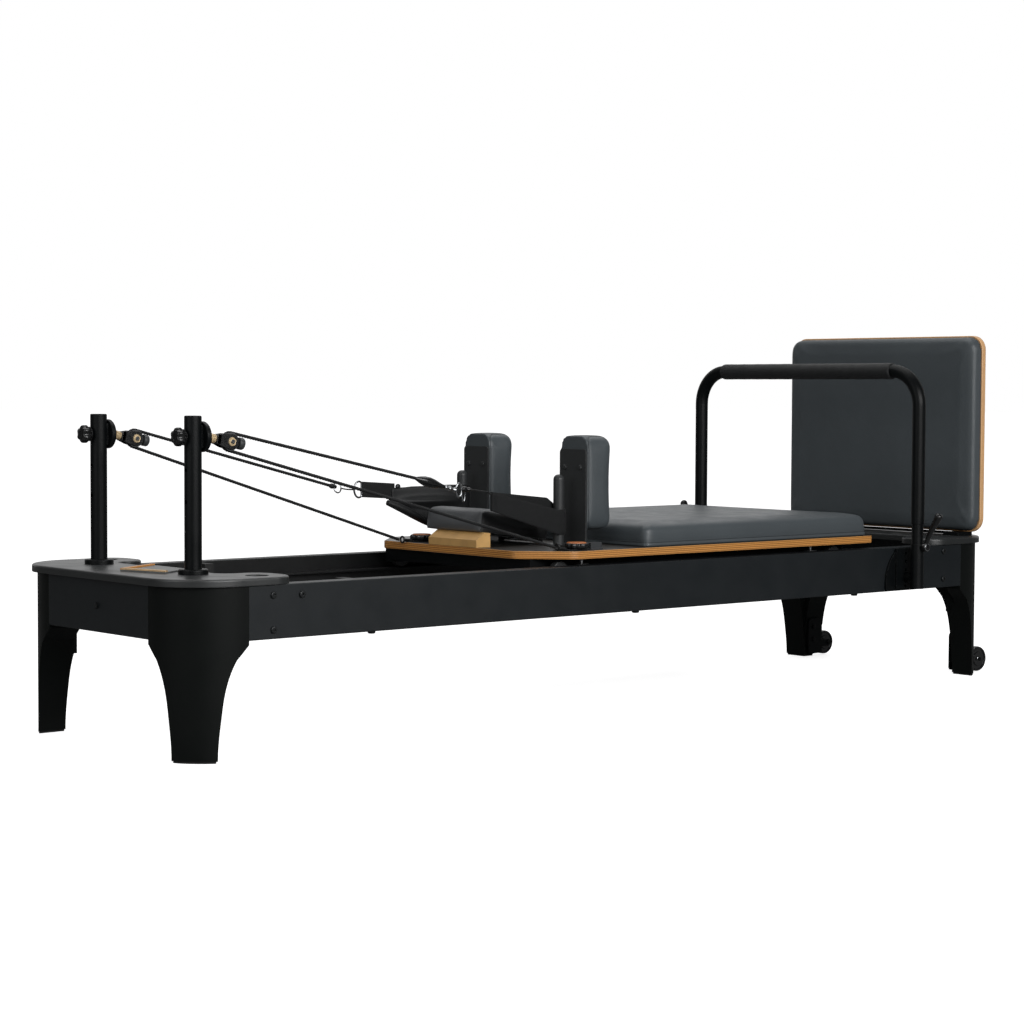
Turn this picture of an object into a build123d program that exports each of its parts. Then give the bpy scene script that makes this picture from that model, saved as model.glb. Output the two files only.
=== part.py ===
from build123d import *
from math import asin, atan2, cos, hypot, radians, sin
import os

# Pilates reformer: a long low frame on four corner legs, a sprung sliding carriage with shoulder rests
# and a headrest, two rope risers at the head end, and a telescoping footbar and an upright jump board at
# the foot end.
#
# Millimetres, +Z up, origin on the floor under the middle of the frame. +X runs from the head end to the
# foot end. Left is +Y and right is -Y, as seen by someone standing at the head end.

# ---- driving dimensions -------------------------------------------------------------------------
LENGTH = 2400.0  # over the legs
WIDTH = 650.0  # over the rails
RAIL_BOTTOM = 230.0
RAIL_TOP = 335.0
RAIL_THICK = 38.0
RAIL_WALL = 3.0
PLATE_THICK = 15.0  # black end plates on top of the legs
PLATE_OVER = 5.0  # how far an end plate overhangs the rails
END_OVER = 12.0  # how far it overhangs the legs at the end
DECK_BOTTOM = 349.0
DECK_THICK = 18.0

HALF_LENGTH = LENGTH / 2
HALF_WIDTH = WIDTH / 2
RAIL_MID = (RAIL_TOP + RAIL_BOTTOM) / 2
RAIL_INNER = HALF_WIDTH - RAIL_THICK
PLATE_TOP = RAIL_TOP + PLATE_THICK
DECK_TOP = DECK_BOTTOM + DECK_THICK
RUN_GAP = 0.08  # radial running clearance of every shaft in its bore
REST_GAP = 0.2  # clearance under a part that only rests on its neighbour
EDGE_ROUND = 2.5  # rounding of plywood edges

# Legs: hollow castings, L-shaped in plan, that narrow to a square foot.
LEG_WING = 138.0  # reach along each rail at the top
LEG_THICK = 74.0  # thickness of each wing
LEG_RADIUS = 125.0
LEG_WALL = 6.0
FOOT_PAD = 4.0  # rubber pad under each leg
ARCH_CURVE = ((74.0, 0.0), (76.0, 44.0), (80.0, 82.0), (85.0, 120.0), (94.0, 158.0), (111.0, 195.0))
ARCH_TOP = 222.0
FLAP_REACH = 102.0  # where the inner wall of the wing under the side rail ends
FLAP_SIDE = 44.0
FLAP_BOTTOM = 160.0
TONGUE_GAP = 0.5
TONGUE_WALL = 4.0
SIDE_TONGUE = 140.0
END_TONGUE = 52.0
BOLT_RADIUS = 4.0
BRACE_X = (-756.0, -31.0, 688.0)
BOLT_PLACES = ((-1006.0, 315.0), (-1006.0, 248.0), (-939.0, 313.0), (995.0, 319.0), (995.0, 251.0))

# Carriage tracks and wheels.
LEDGE_TOP = 300.0
LEDGE_THICK = 4.0
LEDGE_REACH = 25.0
LOAD_RADIUS = 22.0
LOAD_WIDTH = 16.0
LOAD_Y = 275.0
LOAD_Z = LEDGE_TOP + LOAD_RADIUS + REST_GAP
LOAD_X = (-230.0, 640.0)
GUIDE_RADIUS = 16.0
GUIDE_X = (-160.0, 570.0)
GUIDE_Y = RAIL_INNER - GUIDE_RADIUS - 0.3
GUIDE_Z = 330.0
PIN_RADIUS = 5.0
GUIDE_PIN = 4.0

# Carriage.
DECK_HEAD = -316.0
DECK_FOOT = 740.0
DECK_HALF = 320.0
DECK_CUT = 94.0  # head-end corners cut off at 45 degrees
BEAM_Y = (232.0, 252.0)
BEAM_BOTTOM = 316.0
BEAM_HEAD = -290.0
BEAM_FOOT = 700.0
TRAVEL = 480.0
CUSHION_HEAD = -6.0
CUSHION_FOOT = 738.0
CUSHION_HALF = 312.0
CUSHION_THICK = 52.0

# Rope risers and pulleys, and the accessory socket holes beside them.
SOCKET_X = -1011.0
SOCKET_Y = 277.0
SOCKET_RADIUS = 23.5
POST_X = -1090.0
POST_Y = 175.0
POST_RADIUS = 17.0
POST_TOP = 657.0
POST_WALL = 2.0
POST_HOLES = (490.0, 551.0, 616.0)
SOCKET_DEPTH = 62.0
STUD_RADIUS = 4.0
BLOCK_TILT = 10.0  # degrees the pulley block hangs below the horizon
BLOCK_REACH = 58.0  # swivel face to sheave axle
BLOCK_GAP = 8.0  # half the space between the block's cheeks
BLOCK_CHEEK = 2.5
NECK_START = 24.0  # swivel face to the block's neck
SWIVEL_X = -1063.0
SWIVEL_PIN = 3.0
SWIVEL_RADIUS = 9.0
SHEAVE_GROOVE = 13.5
SHEAVE_RIM = 18.0
SHEAVE_HALF = 6.5
ROPE_RADIUS = 3.6
ROPE_TURN = SHEAVE_GROOVE + ROPE_RADIUS + REST_GAP

# Shoulder rests, straps and rope adjusters.
REST_X = -89.0
REST_Y = 167.0
REST_HALF = 43.0
REST_PLATE = 4.0
REST_TOP = 580.0
PEG_X = -134.0
REST_PINS = (-138.0, -110.0)
PEG_RADIUS = 12.0
PEG_TOP = 525.0
STRAP_HEAD = -326.0
STRAP_THICK = 4.0
STRAP_Y = {"right": -174.0, "left": 173.0}
ROPE_END = {"right": (-538.0, 524.0), "left": (-505.0, 497.0)}
ADJUSTER = {"right": (-190.0, -288.0), "left": (-268.0, 148.0)}  # X and Y of each rope adjuster's knob
RING_REACH = 55.0  # knob axis to the rope ring, towards the head
RING_RISE = {"right": 9.0, "left": 6.0}  # ring centre above the deck; the left ring hangs off its edge

# Headrest.
HINGE_X = -100.0
HINGE_Z = 373.0
HINGE_PIN = 1.5
HEAD_TILT = 7.0
HEAD_LENGTH = 202.0
HEAD_HALF = 100.0
HEAD_BOARD = 9.0
HEAD_PAD = 42.0

# Footbar.
BAR_X = 846.0
BAR_Y = 366.0
BAR_RADIUS = 16.0
BAR_TOP = 760.0
BAR_BEND = 83.0
BAR_FOOT = 393.0  # where the wide upper tube ends and the thin inner tube shows
BAR_INNER = 13.92
SLEEVE_BORE = 14.0
SLEEVE_TOP = 345.0
SLEEVE_FOOT = 237.0
PIVOT_Z = 262.0
PIVOT_RADIUS = 7.0
SIDE_PLATE = 5.0
LEVER_Z = 338.0

# Springs.
SPRING_Y = (-160.0, -80.0, 0.0, 80.0, 160.0)
SPRING_Z = 296.0
SPRING_RADIUS = 12.0
ANCHOR_X = 214.0
SPRING_BAR_X = 850.0
SPRING_BAR_Z = 284.0

# Jump board.
BOARD_BOTTOM = 359.0
BOARD_TOP = 851.0
BOARD_HALF = 314.0
BOARD_BACK = 1165.0
BOARD_PLY = 15.0
BOARD_PAD = 30.0
BOARD_CORNER = 36.0
BOARD_FOOT_Y = 250.0
BOARD_PIN_X = 1128.0

# Transport wheels at the foot end.
WHEEL_X = 1206.0
WHEEL_Y = 259.0
WHEEL_Z = 34.0
WHEEL_RADIUS = 31.5
WHEEL_WIDTH = 26.0
BRACKET_Y = -240.0  # face of the bracket plate towards the leg
NOTCH_X = 1163.0
NOTCH_Y = 276.0
NOTCH_Z = 82.0

SIDES = {"right": -1, "left": 1}


# ---- small helpers ------------------------------------------------------------------------------
def block(x0, x1, y0, y1, z0, z1):
    """Axis-aligned box between two corners, given in any order along each axis."""
    size = (abs(x1 - x0), abs(y1 - y0), abs(z1 - z0))
    return Pos((x0 + x1) / 2, (y0 + y1) / 2, (z0 + z1) / 2) * Box(*size)


def rod(start, end, radius):
    """Round bar from start to end."""
    along = Vector(*end) - Vector(*start)
    plane = Plane(origin=Vector(*start), z_dir=along)
    return plane * Pos(0, 0, along.length / 2) * Cylinder(radius, along.length)


def tube(start, end, outer, inner):
    """Round tube from start to end, open at both ends."""
    over = (Vector(*end) - Vector(*start)).normalized()
    bore = rod(tuple(Vector(*start) - over), tuple(Vector(*end) + over), inner)
    return rod(start, end, outer) - bore


def upright(x, y, z0, z1, radius):
    return rod((x, y, z0), (x, y, z1), radius)


def across(x, y0, y1, z, radius):
    return rod((x, y0, z), (x, y1, z), radius)


def round_rims(solid, radius, least):
    """Rounds the circular edges that are at least the given radius."""
    rims = [e for e in solid.edges().filter_by(GeomType.CIRCLE) if e.radius >= least]
    return fillet(rims, radius)


def mirror_y(shape):
    return mirror(shape, about=Plane.XZ)


def mirror_x(shape):
    return mirror(shape, about=Plane.YZ)


def both_sides(shape):
    """The shape and its mirror image across the middle of the machine."""
    return [shape, mirror_y(shape)]


def save(name, *shapes):
    """Writes one node. Each shape stays its own solid."""
    solids = [solid for shape in shapes for solid in shape.solids()]
    export_step(Compound(children=solids), f"parts/{name}.step")


# ---- frame --------------------------------------------------------------------------------------
def rail_hollow(x0, x1, y0, y1):
    low, high = RAIL_BOTTOM + RAIL_WALL, RAIL_TOP - RAIL_WALL
    return block(x0, x1, y0, y1, low, high)


def right_rail():
    """Box rail with an inner ledge that the load wheels roll on, drilled for the leg bolts."""
    reach = HALF_LENGTH - LEG_WING
    shell = block(-reach, reach, -HALF_WIDTH, -RAIL_INNER, RAIL_BOTTOM, RAIL_TOP)
    shell = fillet(shell.edges().filter_by(Axis.X), 2)
    hollow = rail_hollow(-reach - 1, reach + 1, -HALF_WIDTH + RAIL_WALL, -RAIL_INNER - RAIL_WALL)
    ledge_y = -RAIL_INNER + LEDGE_REACH
    ledge = block(-reach, reach, -RAIL_INNER - 1, ledge_y, LEDGE_TOP - LEDGE_THICK, LEDGE_TOP)
    rail = shell - hollow + ledge
    for x, z in BOLT_PLACES:
        rail = rail - across(x, -HALF_WIDTH - 1, -HALF_WIDTH + RAIL_WALL + 1, z, BOLT_RADIUS + 0.1)
    return rail


def crossmember():
    """Box member between the two head legs, drilled for the bolt in the middle of its face."""
    reach = HALF_WIDTH - LEG_WING
    x0, x1 = -HALF_LENGTH, -HALF_LENGTH + RAIL_THICK
    shell = block(x0, x1, -reach, reach, RAIL_BOTTOM, RAIL_TOP)
    shell = fillet(shell.edges().filter_by(Axis.Y), 2)
    hollow = rail_hollow(x0 + RAIL_WALL, x1 - RAIL_WALL, -reach - 1, reach + 1)
    hole = rod((x0 - 1, 0, RAIL_MID), (x0 + RAIL_WALL + 1, 0, RAIL_MID), BOLT_RADIUS + 0.1)
    return shell - hollow - hole


def leg_column(inset, bottom, top):
    """Column over the corner's plan, measured from the outer corner, with the big outer radius."""
    size, r = LEG_WING + 1, LEG_RADIUS - inset
    plan = Pos((size + inset) / 2, (size + inset) / 2) * Rectangle(size - inset, size - inset)
    plan = fillet(plan.vertices().group_by(Axis.X)[0].group_by(Axis.Y)[0], r)
    return Pos(0, 0, bottom) * extrude(plan, amount=top - bottom)


def leg_wing(inset, bottom, top):
    """One wing of a leg as seen from the side, arched underneath, as thick as the leg."""
    points = [(u - inset, w + inset) for u, w in ARCH_CURVE]
    arch = Spline(*points)
    outer = LEG_WING - inset
    straight = Polyline(
        points[-1], (outer, ARCH_TOP + inset), (outer, top), (inset, top), (inset, points[0][1]), points[0]
    )
    face = make_face(Plane.XZ * (arch + straight))
    solid = extrude(face, amount=LEG_THICK - 2 * inset, dir=(0, 1, 0))
    return (Pos(0, inset, 0) * solid) & block(0, LEG_WING, 0, LEG_THICK, bottom, top)


def leg_body(inset, bottom, top):
    """Both wings of a leg, joined round its outer corner."""
    wing = leg_wing(inset, bottom, top)
    other = mirror(wing, about=Plane(origin=(0, 0, 0), z_dir=(1, -1, 0)))
    return (wing + other) & leg_column(inset, bottom, top)


def tongue(start, reach):
    """Hollow box that slides inside a rail, along X from the leg's wing."""
    gap = RAIL_WALL + TONGUE_GAP
    y0, y1 = gap, RAIL_THICK - gap
    z0, z1 = RAIL_BOTTOM + gap, RAIL_TOP - gap
    wall = TONGUE_WALL
    outer = block(start, LEG_WING + reach, y0, y1, z0, z1)
    hollow = block(LEG_WING, LEG_WING + reach + 1, y0 + wall, y1 - wall, z0 + wall, z1 - wall)
    return outer - hollow


def corner_leg(at_foot_end):
    """Leg with its outer corner at the origin of X and Y, and its wings along +X and +Y."""
    shell = leg_body(0, FOOT_PAD, RAIL_TOP)
    pocket = leg_body(LEG_WALL, FOOT_PAD + LEG_WALL, RAIL_TOP + 1)
    cut = RAIL_BOTTOM - 0.1
    shell = shell - block(FLAP_REACH, LEG_WING + 1, FLAP_SIDE, LEG_THICK + 1, 0, cut)
    shell = shell + block(70, FLAP_REACH, LEG_THICK - LEG_WALL, LEG_THICK, FLAP_BOTTOM, cut)
    pocket = pocket - block(
        FLAP_REACH - LEG_WALL, LEG_WING + 1, FLAP_SIDE - LEG_WALL, LEG_THICK + 1, 0, cut + LEG_WALL
    )
    if at_foot_end:
        u, v = HALF_LENGTH - NOTCH_X, HALF_WIDTH - NOTCH_Y
        shell = shell - block(-1, u, v, LEG_WING, 0, NOTCH_Z)
        pocket = pocket - block(-1, u + LEG_WALL, v - LEG_WALL, LEG_WING, 0, NOTCH_Z + LEG_WALL)
    side = tongue(LEG_WING - LEG_WALL, SIDE_TONGUE)
    end = mirror(tongue(LEG_WING - LEG_WALL, END_TONGUE), about=Plane(origin=(0, 0, 0), z_dir=(1, -1, 0)))
    return shell - pocket + side + end


def right_leg(at_foot_end):
    """Leg in its place under the right rail, drilled for the bolts through the rail."""
    leg = Pos(-HALF_LENGTH, -HALF_WIDTH, 0) * corner_leg(at_foot_end)
    if at_foot_end:
        leg = mirror_x(leg)
    for x, z in BOLT_PLACES:
        leg = leg - across(x, -HALF_WIDTH, -HALF_WIDTH + 9, z, BOLT_RADIUS + 0.1)
    return leg


def rubber_foot():
    """Pad under the right head leg."""
    foot = leg_column(1.5, 0, FOOT_PAD) & block(1.5, LEG_THICK - 2, 1.5, LEG_THICK - 2, 0, FOOT_PAD)
    return Pos(-HALF_LENGTH, -HALF_WIDTH, 0) * foot


def notched_foot():
    """Pad under the right foot leg, clear of the transport wheel's notch."""
    pad = mirror_x(rubber_foot())
    return pad - block(NOTCH_X - 1, HALF_LENGTH + 1, -NOTCH_Y - 1, -200, -1, FOOT_PAD + 1)


def end_plate():
    """U-shaped plate over the head end: rounded outer corners and two arms along the rails."""
    head, arm_end, notch, inner = -HALF_LENGTH - END_OVER, -951.0, -1042.0, 205.0
    half = HALF_WIDTH + PLATE_OVER
    outline = Pos((head + arm_end) / 2, 0) * Rectangle(arm_end - head, 2 * half)
    outline = fillet(outline.vertices().group_by(Axis.X)[0], LEG_RADIUS + PLATE_OVER)
    gap = Pos((notch + arm_end + 60) / 2, 0) * Rectangle(arm_end + 60 - notch, 2 * inner)
    gap = fillet(gap.vertices().group_by(Axis.X)[0], 35)
    outline = outline - gap
    outline = fillet(outline.vertices().group_by(Axis.X)[-1], 46)
    plate = Pos(0, 0, RAIL_TOP) * extrude(outline, amount=PLATE_THICK)
    return fillet(plate.faces().sort_by(Axis.Z)[-1].edges(), 4)


def head_top_plate():
    """End plate with the riser holes and one accessory socket hole in each arm."""
    plate = end_plate()
    for side in (-1, 1):
        plate = plate - upright(POST_X, side * POST_Y, RAIL_TOP - 1, PLATE_TOP + 1, POST_RADIUS + 0.5)
        plate = plate - upright(SOCKET_X, side * SOCKET_Y, RAIL_TOP - 1, PLATE_TOP + 1, SOCKET_RADIUS)
    return plate


def foot_top_plate():
    """The same plate at the foot end, with two holes for the jump board's pins."""
    plate = mirror_x(end_plate())
    for side in (-1, 1):
        y = side * BOARD_FOOT_Y
        plate = plate - upright(BOARD_PIN_X, y, RAIL_TOP - 1, PLATE_TOP + 1, 8 + RUN_GAP)
    return plate


def inlay_sheet(points, z0, z1):
    """Flat sheet over a plan outline, trimmed short of the end plate's opening."""
    sheet = extrude(make_face(Polyline(*points, close=True)), amount=z1 - z0)
    return Pos(0, 0, z0) * sheet & block(-1300, -1043, -300, 300, z0 - 1, z1 + 1)


def inlay_plate():
    """Thin grey plate on the head end plate, set askew."""
    return inlay_sheet(((-1160, -22), (-1046, 48), (-1013, -63), (-1128, -134)), PLATE_TOP, PLATE_TOP + 3)


def inlay_rim():
    """Wooden lip along two edges of the inlay plate."""
    outline = ((-1160, -22), (-1046, 48), (-1043, 37), (-1147, -27), (-1117, -127), (-1128, -134))
    return inlay_sheet(outline, PLATE_TOP + 3, PLATE_TOP + 6)


def cross_brace(x):
    """Flat box brace between the rails."""
    low, high = RAIL_BOTTOM + 1, RAIL_BOTTOM + 21
    return block(x - 20, x + 20, -RAIL_INNER + 0.5, RAIL_INNER - 0.5, low, high)


def brace_bolt(x, side):
    """Domed bolt head under the rail at a brace."""
    y = side * (HALF_WIDTH - RAIL_THICK / 2)
    return round_rims(upright(x, y, RAIL_BOTTOM - 6, RAIL_BOTTOM, 8), 2.5, 8)


def button_bolt(x, z):
    """Button-head bolt through the right rail's outer wall into the leg's tongue."""
    face = -HALF_WIDTH
    head = round_rims(across(x, face - 4, face, z, 7), 1.9, 7)
    socket = across(x, face - 5, face - 2, z, 2.5)
    return head - socket + across(x, face - 1, face + 11, z, BOLT_RADIUS)


def end_bolt():
    """Hex bolt in the middle of the head crossmember."""
    face = -HALF_LENGTH
    head = Plane(origin=(face - 4, 0, RAIL_MID), z_dir=(1, 0, 0)) * extrude(RegularPolygon(6, 6), amount=4)
    return head + rod((face - 1, 0, RAIL_MID), (face + 10, 0, RAIL_MID), BOLT_RADIUS)


def frame_bolts():
    right = [button_bolt(x, z) for x, z in BOLT_PLACES]
    left = [mirror_y(bolt) for bolt in right]
    under = [brace_bolt(x, side) for x in BRACE_X for side in (-1, 1)]
    return [*right, *left, *under, end_bolt(), mirror_x(end_bolt())]


# ---- rope risers and pulleys --------------------------------------------------------------------
def riser(side):
    """Round riser tube with cross holes for the pulley bracket's stud and a closed top."""
    y = side * POST_Y
    low = RAIL_TOP - SOCKET_DEPTH + 2
    post = upright(POST_X, y, low, POST_TOP, POST_RADIUS)
    post = fillet(post.edges().sort_by(Axis.Z)[-1], 2.5)
    post = post - upright(POST_X, y, low - 1, POST_TOP - 4, POST_RADIUS - POST_WALL)
    for z in POST_HOLES:
        post = post - rod((POST_X - 30, y, z), (POST_X + 30, y, z), STUD_RADIUS + 0.4)
    return post


def riser_flange(side):
    """Collar that clamps the riser to the head plate."""
    y = side * POST_Y
    collar = tube((POST_X, y, PLATE_TOP), (POST_X, y, PLATE_TOP + 10), 29.5, POST_RADIUS + RUN_GAP)
    return fillet(collar.edges().filter_by(GeomType.CIRCLE).group_by(Axis.Z)[-1].sort_by(SortBy.RADIUS)[-1], 3)


def riser_sockets():
    """Cross beam between the legs' inner faces with a tube under each riser."""
    low = RAIL_TOP - SOCKET_DEPTH
    reach = HALF_WIDTH - LEG_THICK - REST_GAP
    beam = block(POST_X - 30, POST_X + 30, -reach, reach, low - 12, low)
    for side in (-1, 1):
        y = side * POST_Y
        beam = beam + tube((POST_X, y, low - 1), (POST_X, y, RAIL_TOP), POST_RADIUS + 4, POST_RADIUS + RUN_GAP)
        beam = beam + upright(POST_X, y, low - 6, low, POST_RADIUS + 4)
    return beam


def block_plane(side):
    """Plane at the swivel: X along the hanging block, Z across the rope's plane."""
    tilt = radians(BLOCK_TILT)
    return Plane(
        origin=(SWIVEL_X, side * POST_Y, POST_HOLES[-1]),
        x_dir=(cos(tilt), 0, -sin(tilt)),
        z_dir=(0, 1, 0),
    )


def local_rod(x0, x1, radius):
    """Bar along a block plane's X axis."""
    return Pos((x0 + x1) / 2, 0, 0) * Rot(0, 90, 0) * Cylinder(radius, x1 - x0)


def pulley_bracket(side):
    """Saddle against the riser with a round face plate and the swivel's pin."""
    y = side * POST_Y
    z = POST_HOLES[-1]
    disc = round_rims(rod((SWIVEL_X - 12, y, z), (SWIVEL_X - 2, y, z), 30), 2, 30)
    saddle = block(POST_X + 4, SWIVEL_X - 8, y - 13, y + 13, z - 22, z + 22)
    wrap = upright(POST_X, y, z - 40, z + 40, POST_RADIUS + RUN_GAP)
    bore = rod((POST_X, y, z), (SWIVEL_X - 7, y, z), STUD_RADIUS + RUN_GAP)
    eye = rod((SWIVEL_X - 13, y, z + 21), (SWIVEL_X, y, z + 21), 3)
    pin = block_plane(side) * local_rod(-5, 12, SWIVEL_PIN)
    return disc + saddle - wrap - bore - eye + pin


def post_knob(side):
    """Lobed knob on the head side of the riser, with its threaded stud."""
    y = side * POST_Y
    z = POST_HOLES[-1]
    face = POST_X - POST_RADIUS
    knob = rod((face - 26, y, z), (face - 4, y, z), 12)
    for k in range(6):
        turn = radians(60 * k)
        lobe_y, lobe_z = y + 11 * cos(turn), z + 11 * sin(turn)
        knob = knob + rod((face - 25, lobe_y, lobe_z), (face - 5, lobe_y, lobe_z), 5)
    neck = rod((face - 6, y, z), (face - 1, y, z), 9)
    stud = rod((face - 2, y, z), (SWIVEL_X - 8, y, z), STUD_RADIUS)
    return knob + neck + stud


def pulley_block(side):
    """Swivel stem, two cheek plates and the sheave's axle."""
    width = 2 * (BLOCK_GAP + BLOCK_CHEEK)
    stem = local_rod(0, NECK_START + 2, SWIVEL_RADIUS) - local_rod(-1, 13, SWIVEL_PIN + RUN_GAP)
    neck = Pos(NECK_START + 4, 0, 0) * Box(8, 18, width)
    arm = Pos((BLOCK_REACH + NECK_START) / 2, 0) * Rectangle(BLOCK_REACH - NECK_START, 18)
    outline = Pos(BLOCK_REACH, 0) * Circle(16.5) + arm
    cheek = extrude(outline, amount=BLOCK_CHEEK)
    cheeks = Pos(0, 0, BLOCK_GAP) * cheek + Pos(0, 0, -BLOCK_GAP - BLOCK_CHEEK) * cheek
    axle = Pos(BLOCK_REACH, 0, 0) * Cylinder(PIN_RADIUS, width + 4)
    return block_plane(side) * (stem + neck + cheeks + axle)


def sheave(side):
    """Grooved rope sheave on the block's axle."""
    bore = PIN_RADIUS + RUN_GAP
    edge = SHEAVE_HALF - 1.2
    floor = ROPE_RADIUS - 0.5
    profile = Polyline(
        (bore, -SHEAVE_HALF),
        (SHEAVE_RIM, -SHEAVE_HALF),
        (SHEAVE_RIM, -edge),
        (SHEAVE_GROOVE, -floor),
        (SHEAVE_GROOVE, floor),
        (SHEAVE_RIM, edge),
        (SHEAVE_RIM, SHEAVE_HALF),
        (bore, SHEAVE_HALF),
        close=True,
    )
    wheel = revolve(make_face(Plane.XZ * profile), Axis.Z)
    return block_plane(side) * Pos(BLOCK_REACH, 0, 0) * wheel


def tangent_angle(centre, target, over_top):
    """Angle in the XZ plane at which a straight strand to the target leaves the rope's turn."""
    dx, dz = target.X - centre.X, target.Z - centre.Z
    swing = radians(90) - asin(ROPE_TURN / hypot(dx, dz))
    return atan2(dz, dx) + (swing if over_top else -swing)


def on_turn(centre, angle):
    return Vector(centre.X + ROPE_TURN * cos(angle), centre.Y, centre.Z + ROPE_TURN * sin(angle))


def rope(name):
    """Rope from the adjuster's ring, round the back of the sheave and out to the strap's fitting."""
    side = SIDES[name]
    centre = block_plane(side).from_local_coords(Vector(BLOCK_REACH, 0, 0))
    end_x, end_z = ROPE_END[name]
    strap_end = Vector(end_x, STRAP_Y[name], end_z)
    knob_x, knob_y = ADJUSTER[name]
    ring = Vector(knob_x - RING_REACH - 10, knob_y, DECK_TOP + RING_RISE[name])
    top_angle = tangent_angle(centre, strap_end, True)
    low_angle = tangent_angle(centre, ring, False) + radians(360)
    top, low = on_turn(centre, top_angle), on_turn(centre, low_angle)
    turn = ThreePointArc(top, on_turn(centre, (top_angle + low_angle) / 2), low)
    wrap = sweep(Plane(origin=top, z_dir=turn % 0) * Circle(ROPE_RADIUS), path=turn)
    strands = rod(tuple(top), tuple(strap_end), ROPE_RADIUS) + rod(tuple(low), tuple(ring), ROPE_RADIUS)
    knees = Pos(*top) * Sphere(ROPE_RADIUS) + Pos(*low) * Sphere(ROPE_RADIUS)
    return wrap + strands + knees


# ---- carriage -----------------------------------------------------------------------------------
def carriage_deck():
    """Plywood deck, cut off at the head corners, with the pin holes of both shoulder rests."""
    head_x, cut = DECK_HEAD, DECK_CUT
    outline = Polyline(
        (head_x, -DECK_HALF + cut),
        (head_x + cut, -DECK_HALF),
        (DECK_FOOT, -DECK_HALF),
        (DECK_FOOT, DECK_HALF),
        (head_x + cut, DECK_HALF),
        (head_x, DECK_HALF - cut),
        close=True,
    )
    face = make_face(outline)
    corners = face.vertices().group_by(Axis.X)
    face = fillet([*corners[0], *corners[1]], 30)
    face = fillet(face.vertices().group_by(Axis.X)[-1], 12)
    deck = Pos(0, 0, DECK_BOTTOM) * extrude(face, amount=DECK_THICK)
    deck = fillet(deck.faces().sort_by(Axis.Z)[-1].edges() + deck.faces().sort_by(Axis.Z)[0].edges(), EDGE_ROUND)
    for side in (-1, 1):
        for x in REST_PINS:
            deck = deck - upright(x, side * REST_Y, DECK_BOTTOM - 1, DECK_TOP + 1, PIN_RADIUS + RUN_GAP)
    return deck


def carriage_cushion():
    """Long body cushion on the deck."""
    pad = Rectangle(CUSHION_FOOT - CUSHION_HEAD, 2 * CUSHION_HALF)
    pad = Pos((CUSHION_FOOT + CUSHION_HEAD) / 2, 0, DECK_TOP + REST_GAP) * fillet(pad.vertices(), 22)
    pad = extrude(pad, amount=CUSHION_THICK)
    return fillet(pad.faces().sort_by(Axis.Z)[-1].edges(), 20)


def carriage_chassis():
    """Steel ladder under the deck: two side beams and three cross members, bored for the load pins."""
    near, far = BEAM_Y
    ladder = block(BEAM_HEAD, BEAM_FOOT, near, far, BEAM_BOTTOM, DECK_BOTTOM)
    ladder = ladder + mirror_y(ladder)
    for x in (BEAM_HEAD + 15, ANCHOR_X, BEAM_FOOT - 15):
        ladder = ladder + block(x - 15, x + 15, -near, near, BEAM_BOTTOM + 5, DECK_BOTTOM)
    for x in LOAD_X:
        ladder = ladder - across(x, -far - 1, far + 1, LOAD_Z, PIN_RADIUS)
    return ladder


def spring_anchor():
    """Plate under the middle cross member with a hole for each spring's end."""
    plate = block(ANCHOR_X - 3, ANCHOR_X + 3, -190, 190, SPRING_Z - 12, BEAM_BOTTOM + 5)
    for y in SPRING_Y:
        plate = plate - rod((ANCHOR_X - 9, y, SPRING_Z), (ANCHOR_X + 9, y, SPRING_Z), 4)
    return plate


def guide_pin(x, side):
    """Small shelf on the side beam that carries one guide wheel's pin."""
    y = side * GUIDE_Y
    shelf = block(x - 12, x + 12, side * BEAM_Y[1], side * (GUIDE_Y + 7), DECK_BOTTOM - 4, DECK_BOTTOM)
    return shelf + upright(x, y, GUIDE_Z - 8, DECK_BOTTOM - 3, GUIDE_PIN)


def load_pin(x, side):
    """Stub axle pressed into the side beam."""
    return across(x, side * (BEAM_Y[0] + 2), side * (LOAD_Y + LOAD_WIDTH / 2), LOAD_Z, PIN_RADIUS)


def load_wheel(x, side):
    """Track wheel with rounded tread edges."""
    y0, y1 = side * (LOAD_Y - LOAD_WIDTH / 2), side * (LOAD_Y + LOAD_WIDTH / 2)
    wheel = tube((x, y0, LOAD_Z), (x, y1, LOAD_Z), LOAD_RADIUS, PIN_RADIUS + RUN_GAP)
    return round_rims(wheel, 2, LOAD_RADIUS)


def guide_wheel(x, side):
    """Flat-lying wheel that runs against the rail's inner face."""
    y = side * GUIDE_Y
    return tube((x, y, GUIDE_Z - 6), (x, y, GUIDE_Z + 6), GUIDE_RADIUS, GUIDE_PIN + RUN_GAP)


def spring(y):
    """Spring as a thick tube with an end plug, a nut behind the anchor and an eye over the hook post."""
    start, end = ANCHOR_X + 22, SPRING_BAR_X - 30
    body = tube((start, y, SPRING_Z), (end, y, SPRING_Z), SPRING_RADIUS, SPRING_RADIUS - 3)
    plugs = rod((start, y, SPRING_Z), (start + 8, y, SPRING_Z), SPRING_RADIUS)
    plugs = plugs + rod((end - 8, y, SPRING_Z), (end, y, SPRING_Z), SPRING_RADIUS)
    shank = rod((ANCHOR_X - 12, y, SPRING_Z), (start + 1, y, SPRING_Z), 2.5)
    nut = rod((ANCHOR_X - 12, y, SPRING_Z), (ANCHOR_X - 4, y, SPRING_Z), 6)
    hook = rod((end - 1, y, SPRING_Z), (SPRING_BAR_X - 8, y, SPRING_Z), 2)
    eye = Pos(SPRING_BAR_X, y, SPRING_Z) * Torus(8, 2)
    return body + plugs + shank + nut + hook + eye


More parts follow.
